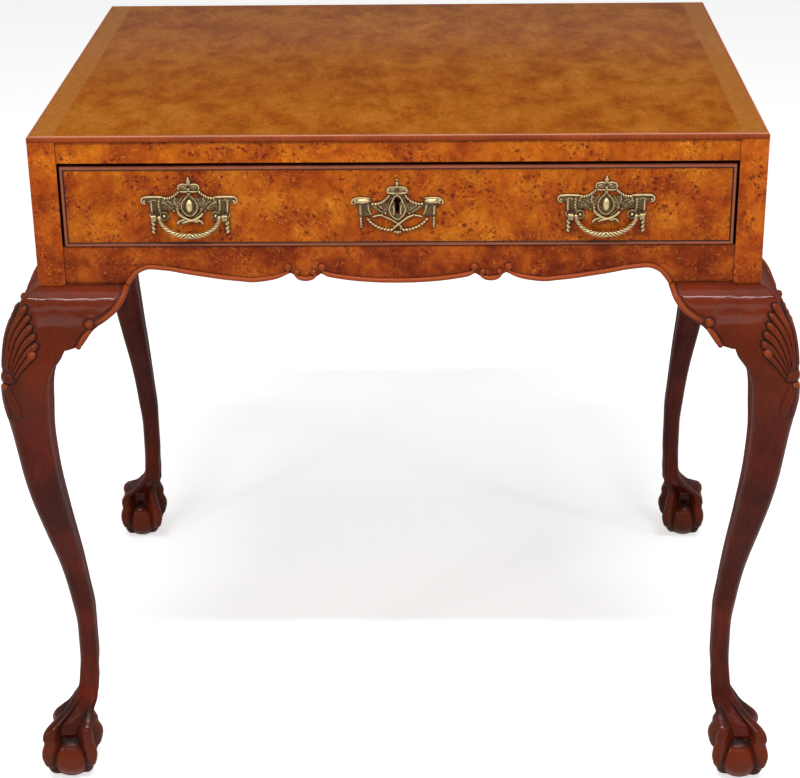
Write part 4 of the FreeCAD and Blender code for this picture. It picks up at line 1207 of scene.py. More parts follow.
            # A ring of wax and painted shade round each knob
            carving.dome(away, radius, rise, 1.0, 0.3, 0.9)
            carving.wear_and_highlight += (wear_and_highlight - carving.wear_and_highlight) * smooth_step(1.1 - away, 0.0, 0.5)
        away = np.hypot(s / 12.0, (z - self.collar + 0.02 * s ** 2) / 6.4)
        carving.dome(away, 8.0, 2.9, 0.96, 1.0, 1.2)
        for points, half in zip(self.leaves, self.leaf_widths):
            carving.leaf(route(points, 60), half)
        away = np.hypot(s / 5.4, (z - self.husk_knob) / 3.6)
        carving.dome(away, 4.0, 3.3, 0.95, 1.0, 0.9)
        wear_and_highlight = np.where(away < 0.95, 0.35, carving.wear_and_highlight)
        sunk = 0.45 * np.exp(-np.clip(carving.near, 0, None) ** 2 / 8.0) * smooth_step(z, 496, 512)
        return carving.stand - sunk, np.clip(carving.wax, 0, 1), wear_and_highlight

    @staticmethod
    def half_rings(middle: Points | float, reach: Points, turn: Points, level: Points) -> Points:
        """Points on one side of the corner's diagonal.

        Args:
            middle: How far the section's middle lies in from both faces.
            reach: Distances from the middle.
            turn: Their angles from the outer corner.
            level: Their heights.

        Returns:
            The points in u, v and z.
        """
        along = reach * np.cos(turn) * math.sqrt(0.5)
        aside = reach * np.sin(turn) * math.sqrt(0.5)
        return np.stack([middle - along + aside, middle - along - aside, level], axis=-1)

    @staticmethod
    def whole_rings(half: Points) -> Points:
        """Close half rings with their own mirror image across the diagonal."""
        return np.concatenate([half, half[:, -2:0:-1][..., [1, 0, 2]]], axis=1)

    @staticmethod
    def outward(surface: Points, turn: Points) -> Points:
        """The direction in which carving stands out of a surface.

        Args:
            surface: Half rings of points.
            turn: Their angles from the outer corner.

        Returns:
            A unit vector for each point. On the corner's own line it stays in the diagonal.
        """
        normal = np.cross(np.gradient(surface, axis=0), np.gradient(surface, axis=1))
        normal /= np.maximum(np.linalg.norm(normal, axis=-1), 1e-9)[..., None]
        away = np.stack([np.sin(turn) - np.cos(turn), -np.sin(turn) - np.cos(turn), 0 * turn], axis=-1)
        normal *= np.where((normal * away).sum(axis=-1) < 0, -1, 1)[..., None]
        normal[:, 0] = np.array([-1, -1, 0]) * math.sqrt(0.5)
        return normal

    def build(self) -> Piece:
        """Model the leg once, in the corner's own frame.

        Returns:
            The leg.
        """
        z = self.heights()
        turn, s = self.directions(z)
        level = np.broadcast_to(z[:, None], turn.shape)
        middle, half, radii = self.sections(z)
        square = self.square_reach(turn, half[:, None], np.broadcast_to(radii[:, None], (*turn.shape, 3)))
        claw, crease, worn_and_lit = self.foot_reach(turn, level)
        low = 1 - smooth_step(level, *self.ankle)
        settled = smooth_step(z, *self.settling)
        centre = middle * settled + smooth_table(z, self.foot, 1) * (1 - settled)
        plain = self.half_rings(centre[:, None], square * (1 - low) + claw * low, turn, level)
        stand, wax, wear_and_highlight = self.relief(s, level)
        on_knee = (level > self.knee[0]) & (level < self.knee[1])
        # Wax and painted shade in the carving's grooves and the foot's creases
        wax = np.where(on_knee, wax, crease * low)
        # The last term paints the knee lighter than the shank, for the stronger light that the knee catches
        wear_and_highlight = np.where(on_knee, wear_and_highlight, worn_and_lit * low) + 0.1 * smooth_step(level, 420, 520)
        carved = plain + self.outward(plain, turn) * np.where(on_knee, stand, 0)[..., None]
        carved[..., :2] = np.maximum(carved[..., :2], -self.reach_limit)
        rings = np.concatenate([self.whole_rings(carved), self.post(turn)], axis=0)
        fields = {}
        for name, values in (("wax", wax), ("wear_and_highlight", wear_and_highlight)):
            whole = np.concatenate([values, values[:, -2:0:-1]], axis=1)
            fields[name] = np.pad(whole, ((0, len(rings) - len(whole)), (0, 0)))
        return skin("leg_front_left", rings, fields=fields)

    def post(self, turn: Points) -> Points:
        """Model the post above the knee, inside the stile's facing.

        Args:
            turn: The angles of half a ring's points.

        Returns:
            Its two square rings.
        """
        middle = (self.post_inset + self.case.stile) / 2
        half = (self.case.stile - self.post_inset) / 2
        last = turn[-1:]
        reach = self.square_reach(last, np.full((1, 1), half), np.full((*last.shape, 3), self.post_edge))
        return np.concatenate([
            self.whole_rings(self.half_rings(middle, reach, last, np.full_like(last, height)))
            for height in (self.case.leg_height, self.case.post_top)
        ])

    def place(self, item: Piece, corner: Corner) -> Piece:
        """Copy the leg to one corner of the table.

        Args:
            item: The leg.
            corner: The corner.

        Returns:
            The placed copy.
        """
        across, back = corner.value
        name = "leg_" + corner.name.lower()
        shift = (across * self.case.half_width, back * self.case.half_depth, 0)
        return mirrored_copy(item, name + "_carved", (-across, -back, 1), shift)


# The ears beside the knees

@dataclass
class KneeEar:
    """A carved bracket between a knee and a rail, with a bead that ends in a scroll.

    It is modelled beside the front left knee, in the corner's frame, and then turned and mirrored.
    """

    case: Case
    leg: CarvedLeg
    # How far it reaches into the leg, how far it stands out of the knee's face, and its heights
    overlap: float = 1.6
    lift: float = 0.05
    bottom: float = 541.7
    top: float = 601.4
    rows: int = 120
    across: int = 72
    # Radii of the bead and of the roll below it
    bead: float = 3.0
    roll: float = 3.2
    # Height, and the free edge's distance from the case's corner
    free_edge: Table = (
        (601.4, 94.3), (597, 93.3), (592, 91.2), (587, 88.4), (581, 84.2), (576, 79.6), (572, 74.6),
        (568.4, 69), (565, 63.3), (561, 58.4), (556, 53.4), (551, 49.6), (547, 46.4), (545.2, 43.8),
        (543.6, 38.2), (541.7, 32),
    )
    bead_line: Table = ((93.2, 601.4), (91.2, 596), (88.6, 590.4), (84.2, 584.2), (79.2, 578.8),
                        (73.4, 574.6), (68, 571.4), (63.4, 569.6))
    roll_line: Table = ((57.6, 563), (52.8, 558.2), (48.8, 553.2), (45.8, 548.6), (43.6, 545.4))
    # The scroll's eye: its place and its radius
    scroll: tuple[float, float, float] = (54.8, 567.0, 4.5)

    def face(self, z: Points) -> Points:
        """How far the ear's front face lies in, which carries on the knee's."""
        return self.leg.profile(z, self.leg.outer)

    def body(self) -> Piece:
        """Model the bracket: rows of points along its front, round its edge and along its back.

        Returns:
            The bracket.
        """
        z = np.linspace(self.bottom, self.top, self.rows)
        start = self.case.stile - self.overlap
        edge = smooth_table(z, self.free_edge)
        share = np.linspace(0, 1, self.across) ** 0.8
        u = start + (edge - start)[:, None] * share
        level = np.broadcast_to(z[:, None], u.shape)
        gap, _ = near_line(u, level, route(self.bead_line, 80))
        under, _ = near_line(u, level, route(self.roll_line, 60))
        eye = np.hypot(u - self.scroll[0], level - self.scroll[1]) - self.scroll[2]
        groove = np.exp(-((gap - self.bead - 0.9) / 1.1) ** 2)
        groove = np.maximum(groove, np.exp(-((under - self.roll - 0.4) / 1.1) ** 2))
        groove = np.maximum(groove, np.exp(-((eye - 0.8) / 1.2) ** 2))
        from_edge = np.clip((edge[:, None] - u) / 3.4, 0, 1)
        v = self.face(level) - self.lift + 0.9 * groove + 1.4 * (1 - np.sqrt(1 - (1 - from_edge) ** 2 * 0.98))
        front = np.stack([u, v, level], axis=-1)
        back = front[:, ::-1].copy()
        back[..., 1] = self.case.rail_inner
        # Wax and painted shade in the grooves beside the bead, the roll and the scroll
        fields = {"wax": np.concatenate([0.6 * groove, 0 * groove], axis=1)}
        fields["wear_and_highlight"] = np.full_like(fields["wax"], 0.1)
        return skin("ear_body", np.concatenate([front, back], axis=1), fields=fields)

    def ornament(self) -> list[Piece]:
        """Model the bead, the roll below it and the scroll's eye.

        Returns:
            The pieces.
        """
        parts = []
        share = np.linspace(0, 1, 60)
        thick = np.interp(share, (0, 0.45, 0.85, 1), (1, 1.05, 0.8, 0.2)) * self.bead
        leaf = np.interp(share, (0, 0.12, 0.5, 0.85, 1), (0.25, 0.7, 1, 0.9, 0.5)) * self.roll
        for points, radii in ((self.bead_line, thick), (self.roll_line, leaf)):
            flat = route(points, 60)
            line = np.stack([flat[:, 0], self.face(flat[:, 1]) + 0.9, flat[:, 1]], axis=-1)
            parts.append(mark(tube("ear_bead", line, radii, sides=18), 0.5))
        tip = route(self.roll_line, 60)[-1]
        nose = (tip[0], float(self.face(tip[1])) + 0.4, tip[1])
        parts.append(mark(ball("ear_tip", nose, (3.0, 3.0, 2.6), 16), 0.3))
        u, z, radius = self.scroll
        eye = (u, float(self.face(np.array(z))) + 0.2, z)
        parts.append(mark(ball("ear_scroll", eye, (radius, 3.6, radius), 24), 0.4))
        return parts

    def build(self) -> Piece:
        """Model the ear once, in the corner's own frame."""
        return join("ear", [self.body(), *self.ornament()])

    def place(self, item: Piece, corner: Corner, along_front: bool) -> Piece:
        """Copy the ear to one side of one leg.

        Args:
            item: The ear beside the front left knee.
            corner: The leg's corner.
            along_front: Whether it runs along the front or back, and not along the side.

        Returns:
            The placed copy.
        """
        across, back = corner.value
        side, end = ("left", "right")[across > 0], ("front", "back")[back > 0]
        name = f"ear_{end}_{side}" if along_front else f"ear_{side}_{end}"
        shift = (across * self.case.half_width, back * self.case.half_depth, 0)
        copy = mirrored_copy(item, name + "_carved", (1, 1, 1))
        if not along_front:
            swap_axes(copy, SWAP_X_AND_Y)
        mirror = Matrix.Diagonal((-across, -back, 1, 1))
        copy.data.transform(Matrix.Translation(Vector(shift) * METRES) @ mirror)
        if across * back < 0:
            copy.data.flip_normals()
        return copy


# The beads along the apron's edges

@dataclass
class ApronBead:
    """The bead along the shaped edge of the front apron, with its pairs of scroll balls."""

    case: Case
    radius: float = 2.5
    proud: float = 0.7
    # Distance from the middle, and height
    middle: Table = ((78.6, 616.8), (77.6, 613.6), (72, 611.2), (62, 609.2), (50, 607.4), (37, 606),
                     (18, 604.8), (0, 604.5))
    lobe: Table = ((86.2, 612.4), (87.2, 609.8), (91, 607.6), (97, 606.7), (103, 608), (106.6, 611),
                   (107.6, 613.4))
    wing: Table = ((115.4, 617), (116.2, 613.8), (121, 611.2), (128, 609), (138, 607),
                   (152, 605.5), (164, 606.6), (182, 608.6), (200, 611.4), (218, 614.4),
                   (236, 618), (247, 619.4), (259, 620.4), (267, 618.4), (273.6, 614.4),
                   (278.8, 608.4), (283.4, 601.8))
    # The scroll balls: their distances from the middle, their height and their radius
    balls: tuple[tuple[tuple[float, float], float, float], ...] = (
        ((79.4, 115), 619.6, 3.9),
        ((88.2, 105.6), 614.2, 3.1),
    )

    def strand(self, points: Table, steps: int, ends: Table) -> Piece:
        """One length of the bead.

        Args:
            points: Its line, as distances from the middle and heights.
            steps: Points along it.
            ends: Share of the length, and thickness there.

        Returns:
            The strand.
        """
        flat = route(points, steps)
        depth = self.case.rail_face - self.proud
        line = np.stack([flat[:, 0], np.full(steps, depth), flat[:, 1]], axis=-1)
        thick = np.interp(np.linspace(0, 1, steps), *np.array(ends, float).T) * self.radius
        return mark(tube("bead_strand", line, thick, sides=14), 0.75)

    def build(self, name: str) -> Piece:
        """Model half of the bead and mirror the other half from it.

        Args:
            name: Its name.

        Returns:
            The whole bead.
        """
        swell = ((0, 0.55), (0.1, 1), (1, 1))
        parts = [self.strand(self.middle, 60, swell), self.strand(self.wing, 150, swell),
                 self.strand(self.lobe, 40, ((0, 0.6), (0.3, 1), (0.7, 1), (1, 0.6)))]
        depth = self.case.rail_face - self.proud
        for places, height, size in self.balls:
            for place in places:
                eye = ball("bead_ball", (place, depth - 0.3, height), (size, 3.0, size), 20)
                parts.append(mark(eye, 0.6))
        half = join(name + "_half", parts)
        other = mirrored_copy(half, name + "_other", (-1, 1, 1))
        return join(name, [half, other])


@dataclass
class SideBead:
    """The bead along the shaped edge of a side rail."""

    case: Case
    radius: float = 2.2
    proud: float = 0.2
    # Distance from the middle of the rail, and height
    line: Table = ((0, 604.9), (60, 606.3), (110, 611), (148, 616.6), (172, 619.4),
                   (186, 617.2), (193, 611.6), (197.6, 602.2))

    def build(self, name: str, side: Side) -> Piece:
        """Model the bead on one end of the table.

        Args:
            name: The bead's name.
            side: The table's end.

        Returns:
            The bead.
        """
        half = route(self.line, 90)
        y = np.concatenate([-half[::-1, 0], half[1:, 0]])
        z = np.concatenate([half[::-1, 1], half[1:, 1]])
        x = side.value * (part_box("side_rail_right")[1].x / METRES + self.proud)
        line = np.stack([y, np.full_like(y, x), z], axis=-1)
        item = tube(name, line, np.full(len(line), self.radius), sides=14)
        return mark(swap_axes(item, SWAP_X_AND_Y), 0.6)


class Plane(Enum):
    """Where a mitred frame lies: flat on the top, or upright on the front."""

    TOP = "top"
    FRONT = "front"


@dataclass
class MitredFrame:
    """A moulding round a rectangle, mitred at its corners."""

    plane: Plane
    low: tuple[float, float]
    high: tuple[float, float]
    level: float
    # Places inwards from the rectangle and outwards from its level, with the wax and painted shade, and the
    # rubbing and painted highlight there
    section: Table

    def build(self, name: str) -> Piece:
        """Sweep the moulding's section from corner to corner.

        Args:
            name: Its name.

        Returns:
            The moulding.
        """
        inward, outward, wax, wear_and_highlight = np.array(self.section, float).T
        rings = []
        for a, b, right, up in ((0, 0, 1, 1), (1, 0, -1, 1), (1, 1, -1, -1), (0, 1, 1, -1), (0, 0, 1, 1)):
            across = (self.low, self.high)[a][0] + right * inward
            along = (self.low, self.high)[b][1] + up * inward
            if self.plane is Plane.TOP:
                rings.append(np.stack([across, along, self.level + outward], axis=-1))
            else:
                rings.append(np.stack([across, self.level - outward, along], axis=-1))
        fields = {"wax": np.tile(wax, (5, 1)), "wear_and_highlight": np.tile(wear_and_highlight, (5, 1))}
        return skin(name, np.array(rings), closed_ends=False, fields=fields)


@dataclass
class TopBoard:
    """The top: a veneered field inside a polished lipping, over a core that fits in the case."""

    case: Case
    # The lipping's width, the radius of its arris, and how much the veneer's edges are eased
    width: float = 3.2
    arris: float = 2.5
    eased: float = 0.08
    # Where round the arris the painted highlight is brightest, and how far it spreads, in degrees
    highlight_at: float = 122.0
    highlight_spread: float = 13.0

    def __post_init__(self) -> None:
        """Read the board's place from the frame."""
        low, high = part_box("top_board")
        self.low = np.array(low) / METRES
        self.high = np.array(high) / METRES

    def core(self) -> Piece:
        """Model the core, cut out round the corner posts.

        Returns:
            The core.
        """
        x, y = self.case.half_width - self.case.rail_inner, self.case.half_depth - self.case.rail_inner
        a, b = self.case.half_width - self.case.stile, self.case.half_depth - self.case.stile
        outline = [(a, y), (a, b), (x, b), (x, -b), (a, -b), (a, -y),
                   (-a, -y), (-a, -b), (-x, -b), (-x, b), (-a, b), (-a, y)]
        item = slab("core", outline, self.low[2], self.case.post_top, self.eased)
        return swap_axes(item, SWAP_Y_AND_Z)

    def field(self, name: str) -> Piece:
        """Model the veneered field with its eased edges, and the core under it.

        Args:
            name: Its name.

        Returns:
            The field and the core in one piece.
        """
        deselect()
        bpy.ops.mesh.primitive_cube_add(size=1)
        item = bpy.context.active_object
        low = Vector((self.low[0] + self.width, self.low[1] + self.width, self.case.post_top))
        high = Vector((self.high[0] - self.width, self.high[1] - self.width, self.high[2]))
        item.data.transform(Matrix.LocRotScale((low + high) / 2 * METRES, None, (high - low) * METRES))
        bpy.ops.object.mode_set(mode="EDIT")
        bpy.ops.mesh.select_all(action="SELECT")
        bpy.ops.mesh.bevel(offset=self.eased * METRES, segments=2, affect="EDGES")
        bpy.ops.object.mode_set(mode="OBJECT")
        return join(name, [item, self.core()])

    def lipping(self, name: str) -> Piece:
        """Model the lipping round the field.

        Args:
            name: Its name.

        Returns:
            The lipping.
        """
        thick = self.high[2] - self.case.post_top
        rounded = []
        for turn in np.radians(np.linspace(90, 180, 13)):
            # A painted highlight along the arris, carried by the rubbing mark
            worn_and_lit = math.exp(-((math.degrees(turn) - self.highlight_at) / self.highlight_spread) ** 2)
            rounded.append((self.arris * (1 + math.cos(turn)), self.arris * (math.sin(turn) - 1), 0.0,
                            0.03 + 0.3 * worn_and_lit))
        # Painted shade where the lipping meets the field and the case below it
        section = [(self.width, 0.0, 0.25, 0.0), (self.width - 0.4, 0.0, 0.0, 0.03), *rounded,
                   (0.0, 0.8 - thick, 0.0, 0.0), (0.0, -thick, 0.9, 0.0), (self.width, -thick, 0.0, 0.0)]
        ring = MitredFrame(Plane.TOP, tuple(self.low[:2]), tuple(self.high[:2]), self.high[2], section)
        return ring.build(name)


@dataclass
class CockBead:
    """The half round bead that stands proud of the drawer front, with painted shade in the quirk inside it
    and a painted highlight on its crown, which is also rubbed.
    """

    face: float
    width: float = 4.4
    quirk: float = 0.5

    def build(self, name: str) -> Piece:
        """Model the bead round the drawer front.

        Args:
            name: Its name.

        Returns:
            The bead.
        """
        low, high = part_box("cock_bead")
        low, high = np.array(low) / METRES, np.array(high) / METRES
        proud, deep = self.face - low[1], self.face - high[1]
        foot = self.width - self.quirk
        crown = []
        for turn in np.linspace(0, math.pi, 15):
            inward = foot / 2 * (1 - math.cos(turn))
            # Painted shade in the quirk at the inner foot, and on the crown a painted highlight that is also
            # wear
            wax = math.exp(-((foot - inward) / 0.7) ** 2)
            crown.append((inward, proud * (0.1 + 0.9 * math.sin(turn)), wax, 0.45 * math.sin(turn) ** 4))
        section = [(0.0, deep, 1.0, 0.0), *crown, (self.width, 0.1 * proud, 1.0, 0.0),
                   (self.width, deep, 1.0, 0.0)]
        ring = MitredFrame(Plane.FRONT, (low[0], low[2]), (high[0], high[2]), self.face, section)
        return ring.build(name)


# The brasses on the drawer front

@dataclass(frozen=True)
class Stroke:
    """One raised line of a casting, by its route in u and v. One with beads is a twisted cord, and
    its height is how far its middle stands out of the drawer's face."""

    points: Table
    radius: float
    wear_and_highlight: float = 0.8
    beads: int = 0
    height: float = 1.4
    taper: bool = True

    def twist(self, turn: Points, share: float) -> Points:
        """The cord's strand round its centre line."""
        return 0.5 + 0.72 * np.sqrt(np.abs(np.sin(math.pi * self.beads * share + turn / 2)))


@dataclass(frozen=True)
class Stud:
    """One raised drop of a casting: its place, its half width, half height and rise."""

    u: float
    v: float
    wide: float
    tall: float
    rise: float = 2.2
    wear_and_highlight: float = 0.8


@dataclass(frozen=True)
class Ornament:
    """What a plate is cast with: grounds, strokes and studs of its right half, and those that
    cross its middle. u runs to the right and v up from its own middle, which lies its rise below
    the plate's top."""

    rise: float
    grounds: Sequence[Table]
    strokes: Sequence[Stroke]
    studs: Sequence[Stud]
    middle_strokes: Sequence[Stroke]
    middle_studs: Sequence[Stud]


@dataclass
class Casting:
    """A pierced plate that is cast with raised ornament, modelled on the drawer's face."""

    face: float
    ornament: Ornament
    thickness: float = 1.2

    def stroke(self, stroke: Stroke) -> Piece:
        """Model one raised line.

        Args:
            stroke: The line.

        Returns:
            Its piece.
        """
        steps = max(24, stroke.beads * 10 + 1)
        flat = route(stroke.points, steps)
        line = np.stack([flat[:, 0], np.full(steps, self.face - stroke.height), flat[:, 1]], axis=-1)
        share = np.linspace(0, 1, steps)
        thick = np.full(steps, stroke.radius)
        if stroke.taper:
            thick = thick * np.interp(share, (0, 0.12, 0.88, 1), (0.6, 1, 1, 0.6))
        if stroke.beads:
            return tube("cord", line, thick, sides=12, section=stroke.twist)
        return mark(tube("stroke", line, thick, sides=8), stroke.wear_and_highlight)

    def stud(self, stud: Stud) -> Piece:
        """Model one raised drop.

        Args:
            stud: The drop.

        Returns:
            Its piece.
        """
        middle = (stud.u, self.face - self.thickness, stud.v)
        item = ball("stud", middle, (stud.wide, stud.rise, stud.tall), 16)
        return mark(item, stud.wear_and_highlight)

    def build(self, name: str, node: str) -> Piece:
        """Model the whole casting where its node lies.

        Args:
            name: Its name.
            node: The frame's node that it stands for.

        Returns:
            The casting.
        """
        front = self.face - self.thickness
        parts = [mark(slab("ground", outline, front, self.face, 0.3), 0.25)
                 for outline in self.ornament.grounds]
        parts += [self.stroke(stroke) for stroke in self.ornament.strokes]
        parts += [self.stud(stud) for stud in self.ornament.studs]
        half = join(name + "_half", parts)
        other = mirrored_copy(half, name + "_other", (-1, 1, 1))
        middle = [self.stroke(stroke) for stroke in self.ornament.middle_strokes]
        middle += [self.stud(stud) for stud in self.ornament.middle_studs]
        whole = join(name, [half, other, *middle])
        whole.data.transform(Matrix.Translation(plate_middle(node, self.ornament)))
        return whole


def plate_middle(node: str, ornament: Ornament) -> Vector:
    """Where the middle of a plate's ornament lies on the drawer, in metres."""
    low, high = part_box(node)
    return Vector(((low.x + high.x) / 2, 0, high.z - ornament.rise * METRES))


def arc(u: float, v: float, wide: float, tall: float, start: float, end: float, steps: int = 9) -> Table:
    """Points on an ellipse's arc, by angles in degrees from the right."""
    turns = np.radians(np.linspace(start, end, steps))
    return tuple((u + wide * math.cos(turn), v + tall * math.sin(turn)) for turn in turns)


HANDLE_STROKES = (
    Stroke(((0.6, 22.4), (5, 23.4), (9.4, 22.4), (10.8, 19.6), (9.6, 17)), 0.85, 0.9),
    Stroke(((0, 17.8), (4, 19.4), (8.6, 19)), 0.7, 0.6),
    Stroke(((0, 15.6), (5, 15.4), (9.8, 15.8)), 0.8, 0.8),
    Stroke(((9.9, 16), (13.2, 12.8), (17.4, 9.8), (22, 8.4), (26, 8.3)), 1.15, 0.85, beads=7,
           taper=False),
    Stroke(((0, 12.4), (3, 9.4), (6.4, 5.6), (8.1, 0.4), (7.2, -5.2), (3.6, -9.6), (0, -11)),
           0.65, 0.8),
    Stroke(((6.8, 10), (10, 5.2), (13, 2.2), (12.4, -3.2)), 0.7, 0.5),
    Stroke(((13.8, 9.6), (15.2, 6), (14.4, 1.6)), 0.9, 0.6, beads=3),
    Stroke(((8.4, 3.4), (11.6, 1), (12.8, -3.4), (9.8, -8), (4.6, -12.2)), 0.8, 0.5),
    Stroke(((26.2, 9.5), (34, 9.9), (42, 9.9), (47.2, 9.3), (49.2, 6.6), (48, 3.6), (45.2, 2.7)),
           1.05, 0.95),
    Stroke(((26.6, 8.2), (26.2, 5.4), (28, 2.8)), 0.8, 0.6),
    Stroke(((31, 7.6), (31.6, 0), (30.6, -7.4)), 0.95, 0.7, beads=5),
    Stroke(((35.4, 7.6), (35.2, 0), (35, -7)), 0.6, 0.3),
    Stroke(((39.2, 5.6), (39.2, -0.6), (38.8, -7.2)), 0.9, 0.9),
    Stroke(((34, 5), (37, 6.6), (41.6, 5)), 0.7, 0.6),
    Stroke(((33.2, -12), (36.4, -13.4), (40, -11.6), (41.2, -8.2)), 0.8, 0.85),
    Stroke(arc(26.6, -10.8, 4.1, 4.3, 20, 380, 17), 0.8, 0.5, taper=False),
    Stroke(((28.2, 4.4), (23, 2), (17.6, -3.6)), 0.9, 0.5),
    Stroke(((26.4, 0.4), (21.6, -1.4), (18.6, -5.2)), 0.7, 0.4),
    Stroke(((23.4, 5.6), (19, 3.8), (16.4, 0.2)), 0.75, 0.5),
    Stroke(((38.4, -15), (38.2, -20), (38.2, -25.6), (38.3, -29.6)), 2, 0.6, beads=3),
    Stroke(((36.4, -15.4), (36.5, -21)), 0.6, 0.3),
    Stroke(((39.5, -15.4), (39.3, -21)), 0.6, 0.3),
    Stroke(((5, -14.8), (8.8, -15.6), (12.2, -17.4), (13.6, -20.4)), 1.3, 0.8),
)
HANDLE_STUDS = (
    Stud(5.4, 19.2, 4.6, 2.9, 1.8, 0.35),
    Stud(12.4, -3.2, 1.3, 1.3, 3, 1),
    Stud(16.2, -5, 1.2, 1.2, 2.8, 0.8),
    Stud(46.4, 5.6, 1.3, 1.3, 2.8, 1),
    Stud(26.6, -10.8, 2, 2, 3.4, 0.9),
    Stud(12.8, -18.9, 1.7, 1.5, 2.2, 0.6),
)
HANDLE_GROUNDS = (
    ((0, 12.2), (3.6, 9.8), (7.4, 5), (9, -0.6), (7.8, -6), (3.8, -10.6), (0, -12.2)),
    ((6.6, 8), (13.4, 9.2), (17.2, 7.8), (24, 7.6), (26.6, 8), (29.6, 8.2), (29.6, -5), (22.6, -4.6),
     (17.6, -6.2), (11.4, -6), (8, -2)),
    ((28.6, 8.6), (47, 8.6), (47.8, 3.4), (41.6, 3.2), (40.6, -6), (41, -12.4), (29.4, -12.4),
     (28.6, -6)),
    ((0, 23), (9.6, 22.6), (11, 19.4), (9.8, 15.4), (2.2, 14.6), (0, 14.6)),
    ((22, -10.8), (24, -6.6), (29, -6.4), (31.2, -10.8), (29, -15), (24, -15)),
    ((36, -12), (39.9, -12), (39.6, -21), (38.3, -29), (37.5, -29), (36.3, -21)),
)
HANDLE_MIDDLE_STUDS = (
    Stud(0, 0, 4.2, 7.3, 4.2, 1),
    Stud(0, 25.6, 2.6, 3.4, 2.4, 0.7),
    Stud(0, 29.6, 1.2, 1.5, 1.9, 1),
    Stud(0, 17.8, 1.6, 1.8, 2.6, 0.8),
    Stud(0, 13, 2.4, 1.5, 2, 0.5),
)
HANDLE_MIDDLE_STROKES = (
    Stroke(arc(0, 0, 5.7, 8.9, 90, 450, 25), 0.55, 0.3, taper=False),
    Stroke(((-12.6, -4.6), (-11.2, -8.2), (-7.6, -11.6), (-2.6, -14), (4.4, -16), (8.4, -17.4)),
           1.15, 0.9, height=2.0),
    Stroke(((13.8, -7.4), (10, -11.2), (4, -14.4), (-2.6, -16), (-7.6, -18.2)), 1.25, 1, height=2.6),
)
HANDLE = Ornament(30.3, HANDLE_GROUNDS, HANDLE_STROKES, HANDLE_STUDS, HANDLE_MIDDLE_STROKES,
                  HANDLE_MIDDLE_STUDS)

ESCUTCHEON_STROKES = (
    Stroke(((0, 14.6), (5, 15), (9.2, 13.8), (10.4, 11.2), (8.8, 9.2), (4, 8.7), (0, 8.6)),
           0.95, 0.85),
    Stroke(((7.6, 6.8), (11, 2.6), (15.6, -1), (22, -3), (26.4, -2.8)), 1.05, 0.8, beads=7,
           taper=False),
    Stroke(((0, 6.2), (3.2, 4.4), (6, -1.6), (8.4, -8.2), (6.6, -14.2), (3.2, -18.2), (0, -19.6)),
           0.8, 0.85),
    Stroke(((5.4, 5.4), (8.4, -0.6), (12, -8.4), (15.4, -12.2)), 0.6, 0.5),
    Stroke(((4.6, -4.6), (3.6, -7.4), (3.4, -11.6), (4, -14.6)), 0.7, 1),
    Stroke(((30.2, -3.6), (29, -9.4), (26.8, -14.6)), 0.8, 0.75),
    Stroke(((38.2, -4.6), (37.9, -9.8), (37.8, -14.4)), 1.3, 0.7),
    Stroke(((34, -5), (34.2, -13)), 0.6, 0.3),
    Stroke(((37.7, -16.4), (37.5, -21.6), (37.4, -28)), 1.2, 0.6, beads=4),
    Stroke(((25.6, -16.6), (21, -15.4), (16.6, -14.6)), 0.85, 0.9),
    Stroke(((31.6, -17.6), (26.4, -23.6), (19.8, -28), (12, -30.6), (5.4, -31)), 1.15, 0.8, beads=9,
           taper=False),
    Stroke(((24, -5), (19.6, -8.6), (15, -12)), 1, 0.45),
    Stroke(((20.6, -4), (16.6, -6.6), (13, -9.4)), 0.9, 0.45),
    Stroke(((28.4, 2.9), (35, 3.5), (41, 3.3), (45.2, 2), (47, -0.8), (45.4, -3)), 1, 1),
    Stroke(((5.4, -31), (3, -28.6), (4.2, -26)), 0.8, 0.6),
)
ESCUTCHEON_STUDS = (
    Stud(36.6, 0.4, 9.4, 2.9, 3.4, 0.85),
    Stud(43.4, -1.4, 1.3, 1.3, 4.4, 1),
    Stud(12.4, -12.6, 1.2, 1.2, 2.8, 1),
    Stud(15.8, -14.2, 1.2, 1.2, 2.8, 1),
    Stud(5.2, 11.8, 4.4, 2.6, 2.4, 0.4),
    Stud(9.2, 12.2, 1.5, 1.9, 3, 0.9),
    Stud(2.6, -33, 1.5, 1.5, 2.4, 0.7),
)
ESCUTCHEON_GROUNDS = (
    ((3.7, 4.6), (6.6, -1.4), (9.2, -8), (7.4, -14.6), (3.4, -18.4), (0, -19.2), (0, -13.6),
     (2.4, -13.6), (2.2, -2.6), (3.6, 0), (2.6, 3.4)),
    ((0, 15.2), (9.6, 14.2), (10.8, 11.2), (8.4, 8), (3.4, 3.9), (0, 4.2)),
    ((8, -2), (14, -0.8), (22.6, -4.2), (27.6, -4.2), (26.2, -7), (16, -13.8), (9, -12.4)),
    ((26.8, 3), (45.6, 2.6), (46.2, -2.6), (40.6, -3.6), (39.8, -15.6), (26.6, -15.6), (28, -8)),
    ((35.9, -15), (39.5, -15), (38.9, -22), (37.8, -28.6), (37.1, -28.6), (36.1, -22)),
    ((0, -18.4), (3, -18), (5, -21), (0, -24)),
)
ESCUTCHEON_MIDDLE_STUDS = (
    Stud(0, 19, 1.9, 2.2, 2.2, 0.8),
    Stud(0, 22.9, 1.2, 1.3, 2, 1),
    Stud(0, 15.9, 2.4, 1.4, 2.2, 0.6),
    Stud(0, 7, 2, 1, 2.4, 0.9),
    Stud(0, -33.6, 2.1, 1.8, 2.4, 0.7),
)
